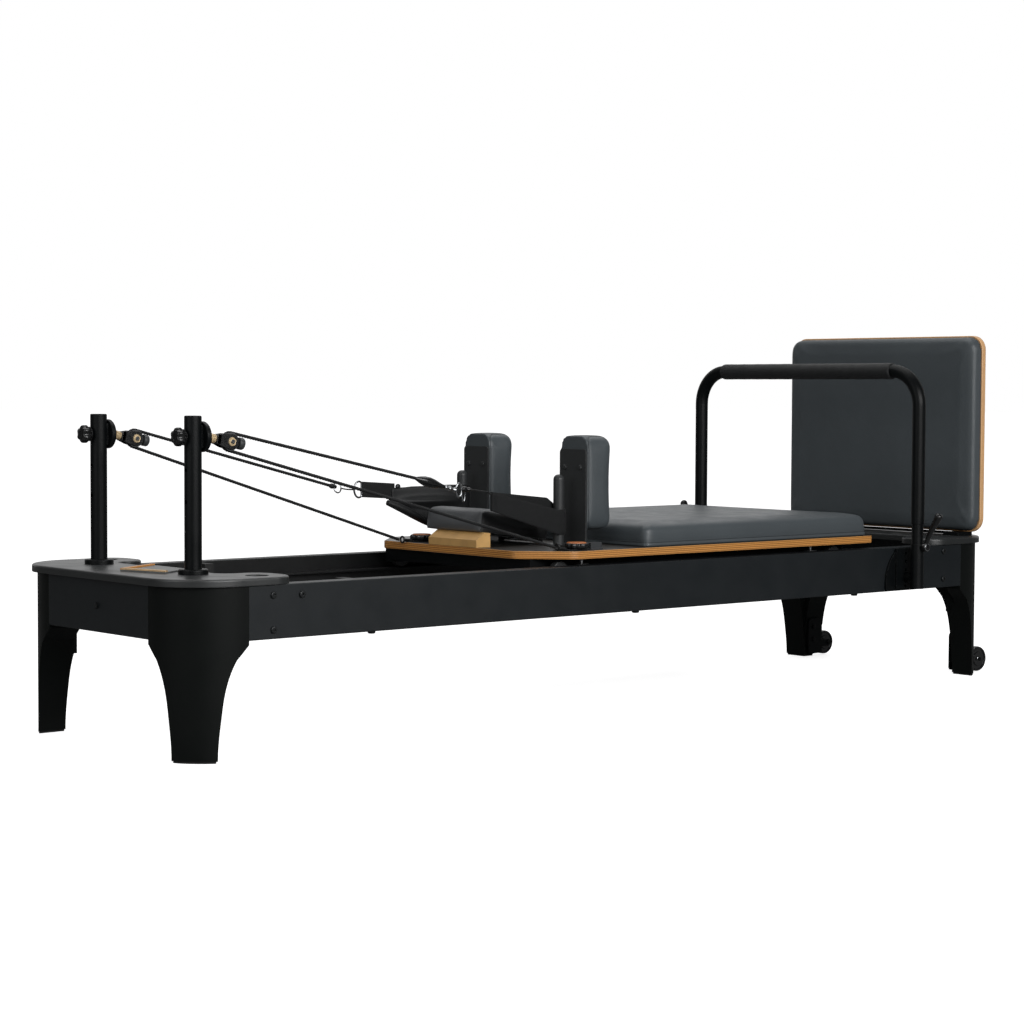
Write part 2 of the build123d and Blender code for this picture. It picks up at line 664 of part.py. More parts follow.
def spring_bar():
    """Round bar between the rails with a hook post for each spring."""
    reach = RAIL_INNER - 0.5
    bar = across(SPRING_BAR_X, -reach, reach, SPRING_BAR_Z, 9.5)
    for y in SPRING_Y:
        bar = bar + upright(SPRING_BAR_X, y, SPRING_BAR_Z, SPRING_Z + 20, 5)
    return bar


def end_stop(x0, x1, side):
    """Rubber-faced stop block on the ledge, level with the chassis beam."""
    y0, y1 = side * (BEAM_Y[0] + 2), side * (RAIL_INNER - REST_GAP)
    return block(x0, x1, y0, y1, LEDGE_TOP + REST_GAP, RAIL_TOP - 2)


def end_stops():
    head_x = BEAM_HEAD - TRAVEL - 1.5
    foot_x = BEAM_FOOT + 1.5
    spans = ((head_x - 22, head_x), (foot_x, foot_x + 22))
    return [end_stop(x0, x1, side) for x0, x1 in spans for side in (-1, 1)]


def rope_adjuster(name):
    """Base on the deck with a rope ring, the knob's spindle and, where there is room, a rope box."""
    x, y = ADJUSTER[name]
    z = DECK_TOP
    ring_x = x - RING_REACH
    reach = 62 if name == "right" else 24
    base = block(x - 36, x + reach, y - 16, y + 16, z, z + 3)
    neck = rod((ring_x + 6, y, z + 5), (x - 30, y, z + 3.3), 3)
    ring = Pos(ring_x, y, z + RING_RISE[name]) * Rot(0, 90, 0) * Torus(6.5, 2.2)
    adjuster = base + neck + ring + upright(x, y, z + 2, z + 13, PIN_RADIUS)
    if name == "right":
        adjuster = adjuster + block(x + 30, x + 62, y - 13, y + 13, z + 2, z + 15)
    return adjuster


def adjuster_knob(name):
    """Lobed knob that turns on the adjuster's spindle, with a flat cap."""
    x, y = ADJUSTER[name]
    z0, z1 = DECK_TOP + 3.3, DECK_TOP + 15
    knob = upright(x, y, z0, z1, 22)
    for k in range(8):
        turn = radians(45 * k)
        knob = knob + upright(x + 21 * cos(turn), y + 21 * sin(turn), z0 + 1, z1 - 1, 5)
    cap = upright(x, y, z1, z1 + 2.5, 21)
    return knob + cap - upright(x, y, z0 - 1, z0 + 11, PIN_RADIUS + RUN_GAP)


# ---- headrest and shoulder rests ----------------------------------------------------------------
def headrest_place():
    """Lays a flat headrest, built along -X from its hinge line, on its wedge."""
    return Pos(HINGE_X, 0, HINGE_Z) * Rot(0, HEAD_TILT, 0)


def headrest_board():
    """Board with a hinge knuckle along its foot-side edge."""
    board = block(-HEAD_LENGTH, -6, -HEAD_HALF + 5, HEAD_HALF - 5, 3.5, 3.5 + HEAD_BOARD)
    knuckle = across(0, -60, 60, 0, 3.5) + block(-14, 0, -60, 60, 0, 3.5)
    bore = across(0, -61, 61, 0, HINGE_PIN + RUN_GAP)
    return headrest_place() * (board + knuckle + block(-14, -6, -60, 60, 3, 4) - bore)


def headrest_pad():
    """Soft pad on the headrest board."""
    bottom = 3.5 + HEAD_BOARD + REST_GAP
    outline = Pos(-HEAD_LENGTH / 2, 0, bottom) * Rectangle(HEAD_LENGTH + 4, 2 * HEAD_HALF)
    pad = extrude(fillet(outline.vertices(), 10), amount=HEAD_PAD)
    pad = fillet(pad.faces().sort_by(Axis.Z)[-1].edges(), 12)
    return headrest_place() * pad


def headrest_wedge():
    """Wooden wedge on the deck's head edge that the headrest lies on."""
    sheet = Polyline((-316, DECK_TOP), (-276, DECK_TOP), (-276, 397.5), (-291, 399.3), (-316, 383), close=True)
    face = make_face(Plane.XZ * sheet)
    return Pos(0, -103, 0) * extrude(face, amount=165, dir=(0, 1, 0))


def headrest_hinge():
    """Two ears on the deck with the headrest's hinge pin between them."""
    ears = block(HINGE_X - 6, HINGE_X + 5, 62, 70, DECK_TOP, HINGE_Z + 4)
    return ears + mirror_y(ears) + across(HINGE_X, -66, 66, HINGE_Z, HINGE_PIN)


def rest_bracket(side):
    """Bent steel upright with a foot, two locating pins, a strap peg and two pad screws."""
    y = side * REST_Y
    z = DECK_TOP + REST_GAP
    back = REST_X - REST_PLATE
    plate = block(back, REST_X, y - REST_HALF, y + REST_HALF, z, REST_TOP)
    plate = fillet(plate.edges().filter_by(Axis.X).group_by(Axis.Z)[-1], 8)
    foot = block(PEG_X - 18, REST_X, y - REST_HALF, y + REST_HALF, z, z + 4)
    peg = upright(PEG_X, y, z, PEG_TOP, PEG_RADIUS)
    peg = fillet(peg.edges().sort_by(Axis.Z)[-1], PEG_RADIUS - 1)
    bracket = plate + foot + peg
    for x in REST_PINS:
        bracket = bracket + upright(x, y, DECK_BOTTOM + 2, z + 1, PIN_RADIUS)
    for offset in (-25, 25):
        head = rod((back - 3.5, y + offset, 540), (back + 1, y + offset, 540), 5.5)
        bracket = bracket + round_rims(head, 1.6, 5.5)
    return bracket


def rest_pad(side):
    """Upright shoulder pad on the foot side of its bracket."""
    y = side * REST_Y
    pad = block(REST_X + REST_GAP, REST_X + 80, y - 47, y + 47, 400, 612)
    pad = fillet(pad.edges().filter_by(Axis.X).group_by(Axis.Z)[-1], 28)
    pad = fillet(pad.edges().filter_by(Axis.X).group_by(Axis.Z)[0], 24)
    return fillet(pad.faces().sort_by(Axis.X)[-1].edges(), 20)


# ---- straps -------------------------------------------------------------------------------------
def strap(name):
    """Webbing loop round the peg, standing on edge and rising towards the rope."""
    side = SIDES[name]
    wide, low, slope = (50, 424, 13) if name == "right" else (60, 424, 5)
    inner = PEG_RADIUS + 3
    span = PEG_X - STRAP_HEAD
    loop = SlotCenterToCenter(span, 2 * (inner + STRAP_THICK)) - SlotCenterToCenter(span, 2 * inner)
    middle = (PEG_X + STRAP_HEAD) / 2
    return Pos(middle, side * REST_Y, low) * Rot(0, slope, 0) * extrude(loop, amount=wide)


def strap_fitting(name):
    """Rope-end sleeve, ring or clip, and the link to the webbing loop."""
    y = STRAP_Y[name]
    end_x, end_z = ROPE_END[name]
    if name == "left":
        sleeve = rod((end_x + 1, y, end_z), (-440, y, 484), 5)
        ring = Pos(-424, y, 481) * Rot(90, 0, 0) * Torus(15, 2.5)
        return sleeve + ring + block(-410, -352, y - 2, y + 2, 462, 496)
    sleeve = rod((end_x + 1, y, end_z), (-464, y, 507), 9)
    swivel = rod((-466, y, 507), (-418, y, 502), 5)
    clip = block(-424, -412, y - 4, y + 4, 482, 512)
    return sleeve + swivel + clip + rod((-410, y, 497), (-352, y, 494), 2)


# ---- footbar ------------------------------------------------------------------------------------
def side_plate():
    """Right footbar plate: an arc-edged plate on the rail, a drilled strip over it and the pivot pin."""
    face, middle = -HALF_WIDTH, -HALF_WIDTH - SIDE_PLATE
    outer = middle - SIDE_PLATE
    low, high = RAIL_BOTTOM + 1, RAIL_TOP - 1
    arc = across(875, middle, face, 250, 100) & block(770, 885, middle, face, low, high)
    strip = block(808, 885, outer, middle, low + 6, high - 1)
    plate = arc + strip
    for z in (321, 301, 281, 242):
        plate = plate - across(841, outer - 1, face + 1, z, 4)
    return plate + across(BAR_X, middle, -BAR_Y + BAR_RADIUS + 2, PIVOT_Z, PIVOT_RADIUS)


def footbar_sleeve():
    """Right lower sleeve of the footbar, with its pivot boss and a split-clamp lug for the lever."""
    start = (BAR_X, -BAR_Y, SLEEVE_FOOT)
    end = (BAR_X, -BAR_Y, SLEEVE_TOP)
    sleeve = rod(start, end, BAR_RADIUS)
    boss_end = -HALF_WIDTH - 2 * SIDE_PLATE - 1
    sleeve = sleeve + across(BAR_X, -BAR_Y, boss_end, PIVOT_Z, 13)
    lug_face = -BAR_Y - BAR_RADIUS - 4
    sleeve = sleeve + across(BAR_X, -BAR_Y, lug_face, LEVER_Z, 8)
    sleeve = sleeve + across(BAR_X, -BAR_Y, lug_face - 9, LEVER_Z, 4)
    pin_end = -BAR_Y + BAR_RADIUS + 1
    sleeve = sleeve - across(BAR_X, pin_end, boss_end + 1, PIVOT_Z, PIVOT_RADIUS + RUN_GAP)
    return sleeve - rod((BAR_X, -BAR_Y, SLEEVE_FOOT - 1), (BAR_X, -BAR_Y, SLEEVE_TOP + 1), SLEEVE_BORE)


def bar_path():
    """Centre line of the bent upper tube."""
    turn = BAR_TOP - BAR_BEND
    reach = BAR_Y - BAR_BEND
    half = BAR_BEND * (1 - cos(radians(45)))
    left = ThreePointArc((BAR_X, BAR_Y, turn), (BAR_X, BAR_Y - half, BAR_TOP - half), (BAR_X, reach, BAR_TOP))
    right = ThreePointArc(
        (BAR_X, -reach, BAR_TOP), (BAR_X, -BAR_Y + half, BAR_TOP - half), (BAR_X, -BAR_Y, turn)
    )
    return Wire(
        [
            Line((BAR_X, BAR_Y, BAR_FOOT), (BAR_X, BAR_Y, turn)),
            left,
            Line((BAR_X, reach, BAR_TOP), (BAR_X, -reach, BAR_TOP)),
            right,
            Line((BAR_X, -BAR_Y, turn), (BAR_X, -BAR_Y, BAR_FOOT)),
        ]
    )


def footbar_tube():
    """Bent upper tube with a thinner tube in each end that slides in the lower sleeve."""
    start = Plane(origin=(BAR_X, BAR_Y, BAR_FOOT), z_dir=(0, 0, 1))
    bar = sweep(start * Circle(BAR_RADIUS), path=bar_path())
    hollow = sweep(start * Circle(SLEEVE_BORE), path=bar_path())
    bar = bar - hollow
    for side in (-1, 1):
        y = side * BAR_Y
        low = SLEEVE_FOOT + 4
        bar = bar + upright(BAR_X, y, low, BAR_FOOT + 60, SLEEVE_BORE) & Box(9999, 9999, 9999)
        trim = tube((BAR_X, y, low - 1), (BAR_X, y, BAR_FOOT), SLEEVE_BORE + 5, BAR_INNER)
        bar = bar - trim
        bar = bar - upright(BAR_X, y, low - 1, BAR_FOOT + 61, BAR_INNER - 2.5)
    return bar


def footbar_grip():
    """Foam sleeve over the straight top of the bar."""
    half = BAR_Y - BAR_BEND
    grip = tube((BAR_X, -half, BAR_TOP), (BAR_X, half, BAR_TOP), 19.5, BAR_RADIUS + 0.1)
    return round_rims(grip, 2.5, 19)


def clamp_lever(side):
    """Clamping lever: round hub on the sleeve's stud and an arm that leans outwards."""
    face = side * (BAR_Y + BAR_RADIUS + 4.3)
    hub = across(BAR_X, face, face + side * 13, LEVER_Z, 10)
    bore = across(BAR_X, face - side, face + side * 10, LEVER_Z, 4 + RUN_GAP)
    root, tip = (BAR_X, face + side * 7, LEVER_Z + 4), (BAR_X, side * 430, 413)
    plane = Plane(origin=root, z_dir=Vector(*tip) - Vector(*root))
    length = (Vector(*tip) - Vector(*root)).length
    arm = plane * Pos(0, 0, length / 2) * Cone(4.5, 7.5, length)
    return hub + arm + Pos(*tip) * Sphere(7.5) - bore


# ---- jump board ---------------------------------------------------------------------------------
def board_sheet(x0, x1, inset):
    """Upright rounded rectangle between two X values."""
    half, low, high = BOARD_HALF - inset, BOARD_BOTTOM + inset, BOARD_TOP - inset
    sheet = block(x0, x1, -half, half, low, high)
    return fillet(sheet.edges().filter_by(Axis.X), BOARD_CORNER - inset)


def jump_board_panel():
    """Plywood panel with rounded edges."""
    panel = board_sheet(BOARD_BACK - BOARD_PLY, BOARD_BACK, 0)
    ends = panel.faces().sort_by(Axis.X)
    return fillet(ends[0].edges() + ends[-1].edges(), EDGE_ROUND)


def jump_board_pad():
    back = BOARD_BACK - BOARD_PLY - REST_GAP
    pad = board_sheet(back - BOARD_PAD, back, 1)
    return fillet(pad.faces().sort_by(Axis.X)[0].edges(), 14)


def jump_board_stand():
    """Angle feet behind the panel, joined by a bar, each with a pin into the foot plate."""
    stand = across(1158, -BOARD_FOOT_Y, BOARD_FOOT_Y, PLATE_TOP + 4.5, 3.5)
    back = BOARD_BACK + REST_GAP
    for side in (-1, 1):
        y0, y1 = side * BOARD_FOOT_Y - 24, side * BOARD_FOOT_Y + 24
        stand = stand + block(back, back + 4, y0, y1, PLATE_TOP + REST_GAP, 450)
        shoe = block(BOARD_PIN_X - 14, back + 4, y0, y1, PLATE_TOP + REST_GAP, BOARD_BOTTOM - REST_GAP)
        stand = stand + shoe + upright(BOARD_PIN_X, side * BOARD_FOOT_Y, RAIL_TOP + 1, PLATE_TOP + 1, 8)
    return stand


# ---- transport wheels ---------------------------------------------------------------------------
def wheel_bracket():
    """Plate bolted to the right foot leg's inner face, with the wheel's axle and two bolt heads."""
    plate = block(1130, 1180, BRACKET_Y, BRACKET_Y + 4, 8, 102)
    plate = fillet(plate.edges().filter_by(Axis.Y), 8)
    plate = plate + block(1170, WHEEL_X, BRACKET_Y, BRACKET_Y + 4, WHEEL_Z - 9, WHEEL_Z + 9)
    plate = plate + across(WHEEL_X, BRACKET_Y, BRACKET_Y + 4, WHEEL_Z, 9)
    spacer = block(1132, 1160, BRACKET_Y - 20, BRACKET_Y + 1, 30, 96)
    bracket = plate + spacer
    for z in (46, 80):
        bracket = bracket + round_rims(across(1146, BRACKET_Y + 3, BRACKET_Y + 8, z, 6), 1.8, 6)
    axle = across(WHEEL_X, -NOTCH_Y + 0.5, BRACKET_Y + 8, WHEEL_Z, PIN_RADIUS)
    return bracket + axle - solid_foot_leg()


def solid_foot_leg():
    """The right foot leg's outer shape, filled, which the bracket's pad is fitted to."""
    leg = leg_body(0, FOOT_PAD, RAIL_TOP)
    u, v = HALF_LENGTH - NOTCH_X, HALF_WIDTH - NOTCH_Y
    leg = leg - block(-1, u, v, LEG_WING, 0, NOTCH_Z)
    return mirror_x(Pos(-HALF_LENGTH, -HALF_WIDTH, 0) * leg)


def transport_wheel(side):
    """Solid wheel with a rounded tread."""
    inner, outer = side * (WHEEL_Y - WHEEL_WIDTH / 2), side * (WHEEL_Y + WHEEL_WIDTH / 2)
    wheel = tube((WHEEL_X, inner, WHEEL_Z), (WHEEL_X, outer, WHEEL_Z), WHEEL_RADIUS, PIN_RADIUS + RUN_GAP)
    return round_rims(wheel, 8, WHEEL_RADIUS)


# ---- write every node ---------------------------------------------------------------------------
def save_frame():
    rail = right_rail()
    save("right_rail", rail)
    save("left_rail", mirror_y(rail))
    save("crossmembers", crossmember(), mirror_x(crossmember()))
    for end in ("head", "foot"):
        leg = right_leg(end == "foot")
        save(f"right_{end}_leg", leg)
        save(f"left_{end}_leg", mirror_y(leg))
    save("rubber_feet", *both_sides(rubber_foot()), *both_sides(notched_foot()))
    save("head_top_plate", head_top_plate())
    save("foot_top_plate", foot_top_plate())
    save("inlay_panel", inlay_plate(), inlay_rim())
    save("cross_braces", *[cross_brace(x) for x in BRACE_X])
    save("frame_bolts", *frame_bolts())
    save("rope_risers", riser(-1), riser(1))
    save("riser_sockets", riser_sockets(), riser_flange(-1), riser_flange(1))
    save("pulley_brackets", pulley_bracket(-1), pulley_bracket(1))
    save("spring_bar", spring_bar())
    save("springs", *[spring(y) for y in SPRING_Y])
    save("end_stops", *end_stops())
    save("footbar_side_plates", *both_sides(side_plate()))
    save("wheel_brackets", *both_sides(wheel_bracket()))
    save("ropes", rope("right"), rope("left"))


def save_carriage():
    save("carriage_deck", carriage_deck())
    save("carriage_cushion", carriage_cushion())
    save("carriage_chassis", carriage_chassis(), spring_anchor())
    pins = [load_pin(x, side) for x in LOAD_X for side in (-1, 1)]
    save("wheel_pins", *pins, *[guide_pin(x, side) for x in GUIDE_X for side in (-1, 1)])
    for end, load_x, guide_x in zip(("head", "foot"), LOAD_X, GUIDE_X):
        save(f"{end}_load_wheels", load_wheel(load_x, -1), load_wheel(load_x, 1))
        for name, side in SIDES.items():
            save(f"{name}_{end}_guide_wheel", guide_wheel(guide_x, side))
    save("rope_adjusters", rope_adjuster("right"), rope_adjuster("left"))
    save("headrest_mount", headrest_wedge(), headrest_hinge())
    save("headrest_board", headrest_board())
    save("headrest_pad", headrest_pad())
    for name, side in SIDES.items():
        save(f"{name}_rest_bracket", rest_bracket(side))
        save(f"{name}_rest_pad", rest_pad(side))
        save(f"{name}_adjuster_knob", adjuster_knob(name))
    save("straps", strap("right"), strap("left"))
    save("strap_fittings", strap_fitting("right"), strap_fitting("left"))


def save_ends():
    for name, side in SIDES.items():
        save(f"{name}_post_knob", post_knob(side))
        save(f"{name}_pulley_block", pulley_block(side))
        save(f"{name}_sheave", sheave(side))
        save(f"{name}_clamp_lever", clamp_lever(side))
        save(f"{name}_transport_wheel", transport_wheel(side))
    save("footbar_sleeves", *both_sides(footbar_sleeve()))
    save("footbar_tube", footbar_tube())
    save("footbar_grip", footbar_grip())
    save("jump_board_panel", jump_board_panel())
    save("jump_board_pad", jump_board_pad())
    save("jump_board_stand", jump_board_stand())


os.makedirs("parts", exist_ok=True)
save_frame()
save_carriage()
save_ends()
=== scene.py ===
import math

import bmesh
import bpy
import numpy as np
from mathutils import Matrix, Vector
from mathutils.bvhtree import BVHTree


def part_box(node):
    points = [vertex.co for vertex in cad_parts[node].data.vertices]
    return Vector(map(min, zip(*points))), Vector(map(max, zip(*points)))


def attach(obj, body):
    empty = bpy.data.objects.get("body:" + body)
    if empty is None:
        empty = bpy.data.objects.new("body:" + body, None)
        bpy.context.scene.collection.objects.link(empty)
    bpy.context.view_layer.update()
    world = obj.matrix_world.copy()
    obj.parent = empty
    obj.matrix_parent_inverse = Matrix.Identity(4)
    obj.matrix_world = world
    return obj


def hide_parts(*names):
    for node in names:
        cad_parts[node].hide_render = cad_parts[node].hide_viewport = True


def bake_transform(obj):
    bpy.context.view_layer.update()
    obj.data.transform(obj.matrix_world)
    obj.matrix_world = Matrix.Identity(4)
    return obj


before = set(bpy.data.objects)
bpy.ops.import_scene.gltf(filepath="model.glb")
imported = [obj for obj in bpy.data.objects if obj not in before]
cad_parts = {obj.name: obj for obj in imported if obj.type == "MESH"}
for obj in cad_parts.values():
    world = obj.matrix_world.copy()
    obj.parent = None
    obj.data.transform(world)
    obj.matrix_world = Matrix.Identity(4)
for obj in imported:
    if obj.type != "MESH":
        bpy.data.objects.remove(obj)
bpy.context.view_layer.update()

MM = 0.001
SIDES = {"right": -1, "left": 1}
scene = bpy.context.scene

# Places in the row frame, in millimetres, as the CAD has them.
POST_X, POST_Y, POST_Z = -1090.0, 175.0, 616.0
SWIVEL_X = -1063.0
BLOCK_TILT = math.radians(10)
SHEAVE_REACH = 58.0
ROPE_TURN = 17.3
ROPE_RADIUS = 3.6
ROPE_END = {"right": (-538.0, -174.0, 524.0), "left": (-505.0, 173.0, 497.0)}
RING = {"right": (-255.0, -288.0, 376.0), "left": (-333.0, 148.0, 373.0)}
PEG_X, PEG_Y, PEG_RADIUS = -134.0, 167.0, 12.0
DECK_TOP = 367.0
KNOB = {"right": (-190.0, -288.0), "left": (-268.0, 148.0)}
BAR_X, BAR_Y, BAR_TOP = 846.0, 366.0, 760.0
LEVER_Z = 338.0
WHEEL_X, WHEEL_Y, WHEEL_Z = 1206.0, 259.0, 34.0
SPRING_Y = (-160.0, -80.0, 0.0, 80.0, 160.0)
SPRING_Z = 296.0
SPRING_ENDS = (236.0, 820.0)
HOOK_X = 850.0
HINGE = Vector((-100.0, 0.0, 373.0))
HEAD_TILT = math.radians(7)
CLOTH_STEPS = 20
ROOM_LIGHT = 0.07
WALL_LIGHT = 0.75


# ---- materials ----------------------------------------------------------------------------------
def shaded(colour, share):
    return tuple(c * share for c in colour)


def worn_edge(colour, share):
    """A paler shade of the colour, where the finish is rubbed."""
    return tuple(min(c * share + 0.01, 1) for c in colour)


class Look:
    """The nodes of a new material, or of a world, under construction."""

    def __init__(self, owner):
        self.owner = bpy.data.materials.new(owner) if isinstance(owner, str) else owner
        self.owner.use_nodes = True
        self.tree = self.owner.node_tree
        self.tree.nodes.clear()
        coordinates = self.add("ShaderNodeTexCoord").outputs
        self.place, self.normal, self.sky = (coordinates[key] for key in ("Object", "Normal", "Generated"))

    def add(self, kind, inputs=None, **settings):
        node = self.tree.nodes.new(kind)
        for key, value in settings.items():
            setattr(node, key, value)
        for key, value in (inputs or {}).items():
            self.put(node.inputs[key], value)
        return node

    def put(self, socket, value):
        if isinstance(value, bpy.types.NodeSocket):
            self.tree.links.new(value, socket)
        elif isinstance(value, tuple) and len(value) == 3 and len(socket.default_value) == 4:
            socket.default_value = (*value, 1)
        else:
            socket.default_value = value

    def math(self, operation, a, b=0.0):
        return self.add("ShaderNodeMath", {0: a, 1: b}, operation=operation).outputs[0]

    def times(self, a, b):
        return self.math("MULTIPLY", a, b)

    def plus(self, a, b):
        return self.math("ADD", a, b)

    def part(self, vector, axis):
        return self.add("ShaderNodeSeparateXYZ", {0: vector}).outputs["XYZ".index(axis)]

    def noise(self, scale, detail=2.0, stretch=None, roughness=0.5):
        place = self.place
        if stretch:
            place = self.add("ShaderNodeVectorMath", {0: place, 1: stretch}, operation="MULTIPLY").outputs[0]
        inputs = {"Vector": place, "Scale": scale, "Detail": detail, "Roughness": roughness}
        return self.add("ShaderNodeTexNoise", inputs).outputs[0]

    def cells(self, scale, feature="F1"):
        inputs = {"Vector": self.place, "Scale": scale}
        return self.add("ShaderNodeTexVoronoi", inputs, feature=feature).outputs["Distance"]

    def span(self, value, low, high, to_low=0.0, to_high=1.0):
        inputs = dict(enumerate((value, low, high, to_low, to_high)))
        return self.add("ShaderNodeMapRange", inputs, clamp=True).outputs[0]

    def mix(self, share, a, b):
        return self.add("ShaderNodeMix", {0: share, 6: a, 7: b}, data_type="RGBA").outputs[2]

    def tone(self, colour, noise, spread):
        return self.mix(self.span(noise, 0.3, 0.7), shaded(colour, 1 - spread), shaded(colour, 1 + spread))

    def rounded(self, radius):
        """Bevelled normal, and a mask that is 1 on sharp edges."""
        bevel = self.add("ShaderNodeBevel", {"Radius": radius}, samples=4).outputs[0]
        plain = self.add("ShaderNodeNewGeometry").outputs["Normal"]
        dot = self.add("ShaderNodeVectorMath", {0: bevel, 1: plain}, operation="DOT_PRODUCT")
        return bevel, self.span(dot.outputs["Value"], 0.97, 0.8)

    def finish(self, colour, rough, height, depth, normal=None, metal=0.0, sheen=0.0, coat=0.0, spec=0.5):
        relief = {"Strength": 1.0, "Distance": depth, "Height": height}
        if normal is not None:
            relief["Normal"] = normal
        inputs = {
            "Base Color": colour, "Roughness": rough, "Metallic": metal, "Specular IOR Level": spec,
            "Sheen Weight": sheen, "Coat Weight": coat, "Coat Roughness": 0.15,
            "Normal": self.add("ShaderNodeBump", relief).outputs[0],
        }
        shader = self.add("ShaderNodeBsdfPrincipled", inputs)
        self.add("ShaderNodeOutputMaterial", {"Surface": shader.outputs[0]})
        return self.owner


def painted(name, colour, rough, grain=1300.0, depth=0.00006, wear=1.6, radius=0.0014, spec=0.4, painted_shade_inside=None):
    """Powder-coated metal: orange-peel bump, slow tone drift, paler rubbed edges, and, given a half-width in
    Y, painted shade that darkens every face nearer the middle to a fifth of the colour.
    """
    look = Look(name)
    normal, edge = look.rounded(radius)
    drift = look.noise(3.5, 3)
    body = look.tone(colour, drift, 0.07)
    patch = look.span(look.noise(45, 3), 0.4, 0.65)
    rubbed = look.times(edge, look.times(patch, 0.55))
    shade = look.mix(rubbed, body, worn_edge(colour, wear))
    # painted shade: faces within the half-width of the middle in Y, such as the rails' inner faces, are
    # darkened to a fifth
    if painted_shade_inside:
        offside = look.math("ABSOLUTE", look.part(look.place, "Y"))
        in_painted_shade = look.math("LESS_THAN", offside, painted_shade_inside * MM)
        shade = look.mix(in_painted_shade, shade, shaded(colour, 0.2))
    smear = look.span(look.noise(18, 4), 0.3, 0.7, rough - 0.05, rough + 0.06)
    return look.finish(shade, smear, look.noise(grain, 2), depth, normal, spec=spec)


def vinyl(name, colour, rough=0.4):
    """Upholstery vinyl with a fine leather grain, and painted shade darkening the grain's creases."""
    look = Look(name)
    body = look.tone(colour, look.noise(6, 3), 0.05)
    pores = look.cells(900)
    creases = look.cells(380, "DISTANCE_TO_EDGE")
    folds = look.span(creases, 0.0, 0.12)
    height = look.plus(look.times(folds, 0.7), look.times(pores, 0.5))
    # painted shade: the colour darkens towards the crease lines of the grain
    shade = look.mix(look.span(creases, 0.0, 0.08, 0.22, 0.0), body, shaded(colour, 0.55))
    sheen = look.span(look.noise(30, 2), 0.3, 0.7, rough - 0.04, rough + 0.06)
    return look.finish(shade, sheen, height, 0.00011, spec=0.5)


def moulded(name, colour, rough, metal=0.0, depth=0.00004, coat=0.0):
    """Moulded plastic, rubber or plain metal with faint unevenness and scuffs."""
    look = Look(name)
    normal, edge = look.rounded(0.0006)
    body = look.tone(colour, look.noise(25, 3), 0.1)
    shade = look.mix(look.times(edge, 0.35), body, worn_edge(colour, 1.5))
    smear = look.span(look.noise(90, 4), 0.3, 0.7, max(rough - 0.06, 0.03), rough + 0.07)
    return look.finish(shade, smear, look.noise(700, 3), depth, normal, metal=metal, coat=coat)


def foam(name, colour):
    look = Look(name)
    body = look.tone(colour, look.noise(60, 3), 0.15)
    height = look.plus(look.noise(1100, 3), look.times(look.cells(1500), 0.8))
    smear = look.span(look.noise(40, 2), 0.3, 0.7, 0.52, 0.64)
    return look.finish(body, smear, height, 0.0003, sheen=0.05, spec=0.35)


def cord(name, colour):
    """Twisted nylon: fine fibres along the strands."""
    look = Look(name)
    body = look.tone(colour, look.noise(500, 3), 0.35)
    return look.finish(body, 0.6, look.noise(2600, 3), 0.0002, sheen=0.05, spec=0.3)


def webbing(name, colour):
    """Woven strap: crossing yarns a few millimetres apart, with painted highlights on the raised crossings.
    """
    look = Look(name)
    x, z = look.part(look.place, "X"), look.part(look.place, "Z")
    warp = look.math("SINE", look.times(z, 2640))
    weft = look.math("SINE", look.times(x, 2200))
    weave_height = look.times(warp, weft)
    fibre = look.noise(2200, 2)
    height = look.plus(weave_height, fibre)
    body = look.tone(colour, look.noise(140, 3), 0.3)
    # painted highlight: where the weave stands highest the colour is lighter
    shade = look.mix(look.span(weave_height, -0.6, 0.8, 0.0, 0.5), body, shaded(colour, 1.8))
    return look.finish(shade, 0.62, height, 0.00025, sheen=0.04, spec=0.3)


def neoprene(name, colour):
    look = Look(name)
    body = look.tone(colour, look.noise(40, 3), 0.12)
    return look.finish(body, 0.5, look.noise(1500, 3), 0.0001, sheen=0.03, spec=0.35)


def wood(name, axis, start, thick, plies, light, dark, top, grain=(1.2, 26.0, 26.0)):
    """Plywood: stacked veneers on the edges, grain on the faces across the stacking axis."""
    look = Look(name)
    normal, edge = look.rounded(0.0015)
    across = look.part(look.place, axis)
    facing = look.math("ABSOLUTE", look.part(look.normal, axis))
    layer = look.times(look.math("SUBTRACT", across, start * MM), plies / (thick * MM))
    wobble = look.times(look.math("SUBTRACT", look.noise(9, 3), 0.5), 0.25)
    wave = look.math("SINE", look.times(look.plus(layer, wobble), math.pi))
    stripe = look.span(wave, -0.35, 0.35)
    fleck = look.noise(420, 3)
    side = look.mix(stripe, dark, light)
    side = look.mix(look.span(fleck, 0.45, 0.75, 0.0, 0.35), side, shaded(dark, 0.6))
    rings = look.noise(3.0, 6, grain, 0.62)
    streak = look.noise(34.0, 4, grain, 0.6)
    face = look.mix(look.span(rings, 0.35, 0.65), shaded(top, 0.78), top)
    face = look.mix(look.span(streak, 0.5, 0.72, 0.0, 0.45), face, shaded(top, 0.6))
    shade = look.mix(look.span(facing, 0.6, 0.8), side, face)
    height = look.plus(streak, look.times(stripe, 0.35))
    smear = look.span(fleck, 0.3, 0.7, 0.36, 0.5)
    return look.finish(shade, smear, height, 0.00015, normal, coat=0.25)


def zoned(name, border, below, above, rough, metal=(0.0, 0.0)):
    """One part with two finishes, split at a place in X."""
    look = Look(name)
    normal, edge = look.rounded(0.0008)
    share = look.math("GREATER_THAN", look.part(look.place, "X"), border * MM)
    drift = look.noise(30, 3)
    shade = look.mix(share, look.tone(below, drift, 0.1), look.tone(above, drift, 0.1))
    rub = look.mix(look.times(edge, 0.25), shade, (0.3, 0.3, 0.3))
    roughness = look.span(share, 0, 1, *rough)
    shine = look.span(share, 0, 1, *metal)
    return look.finish(rub, roughness, look.noise(900, 3), 0.00006, normal, metal=shine)


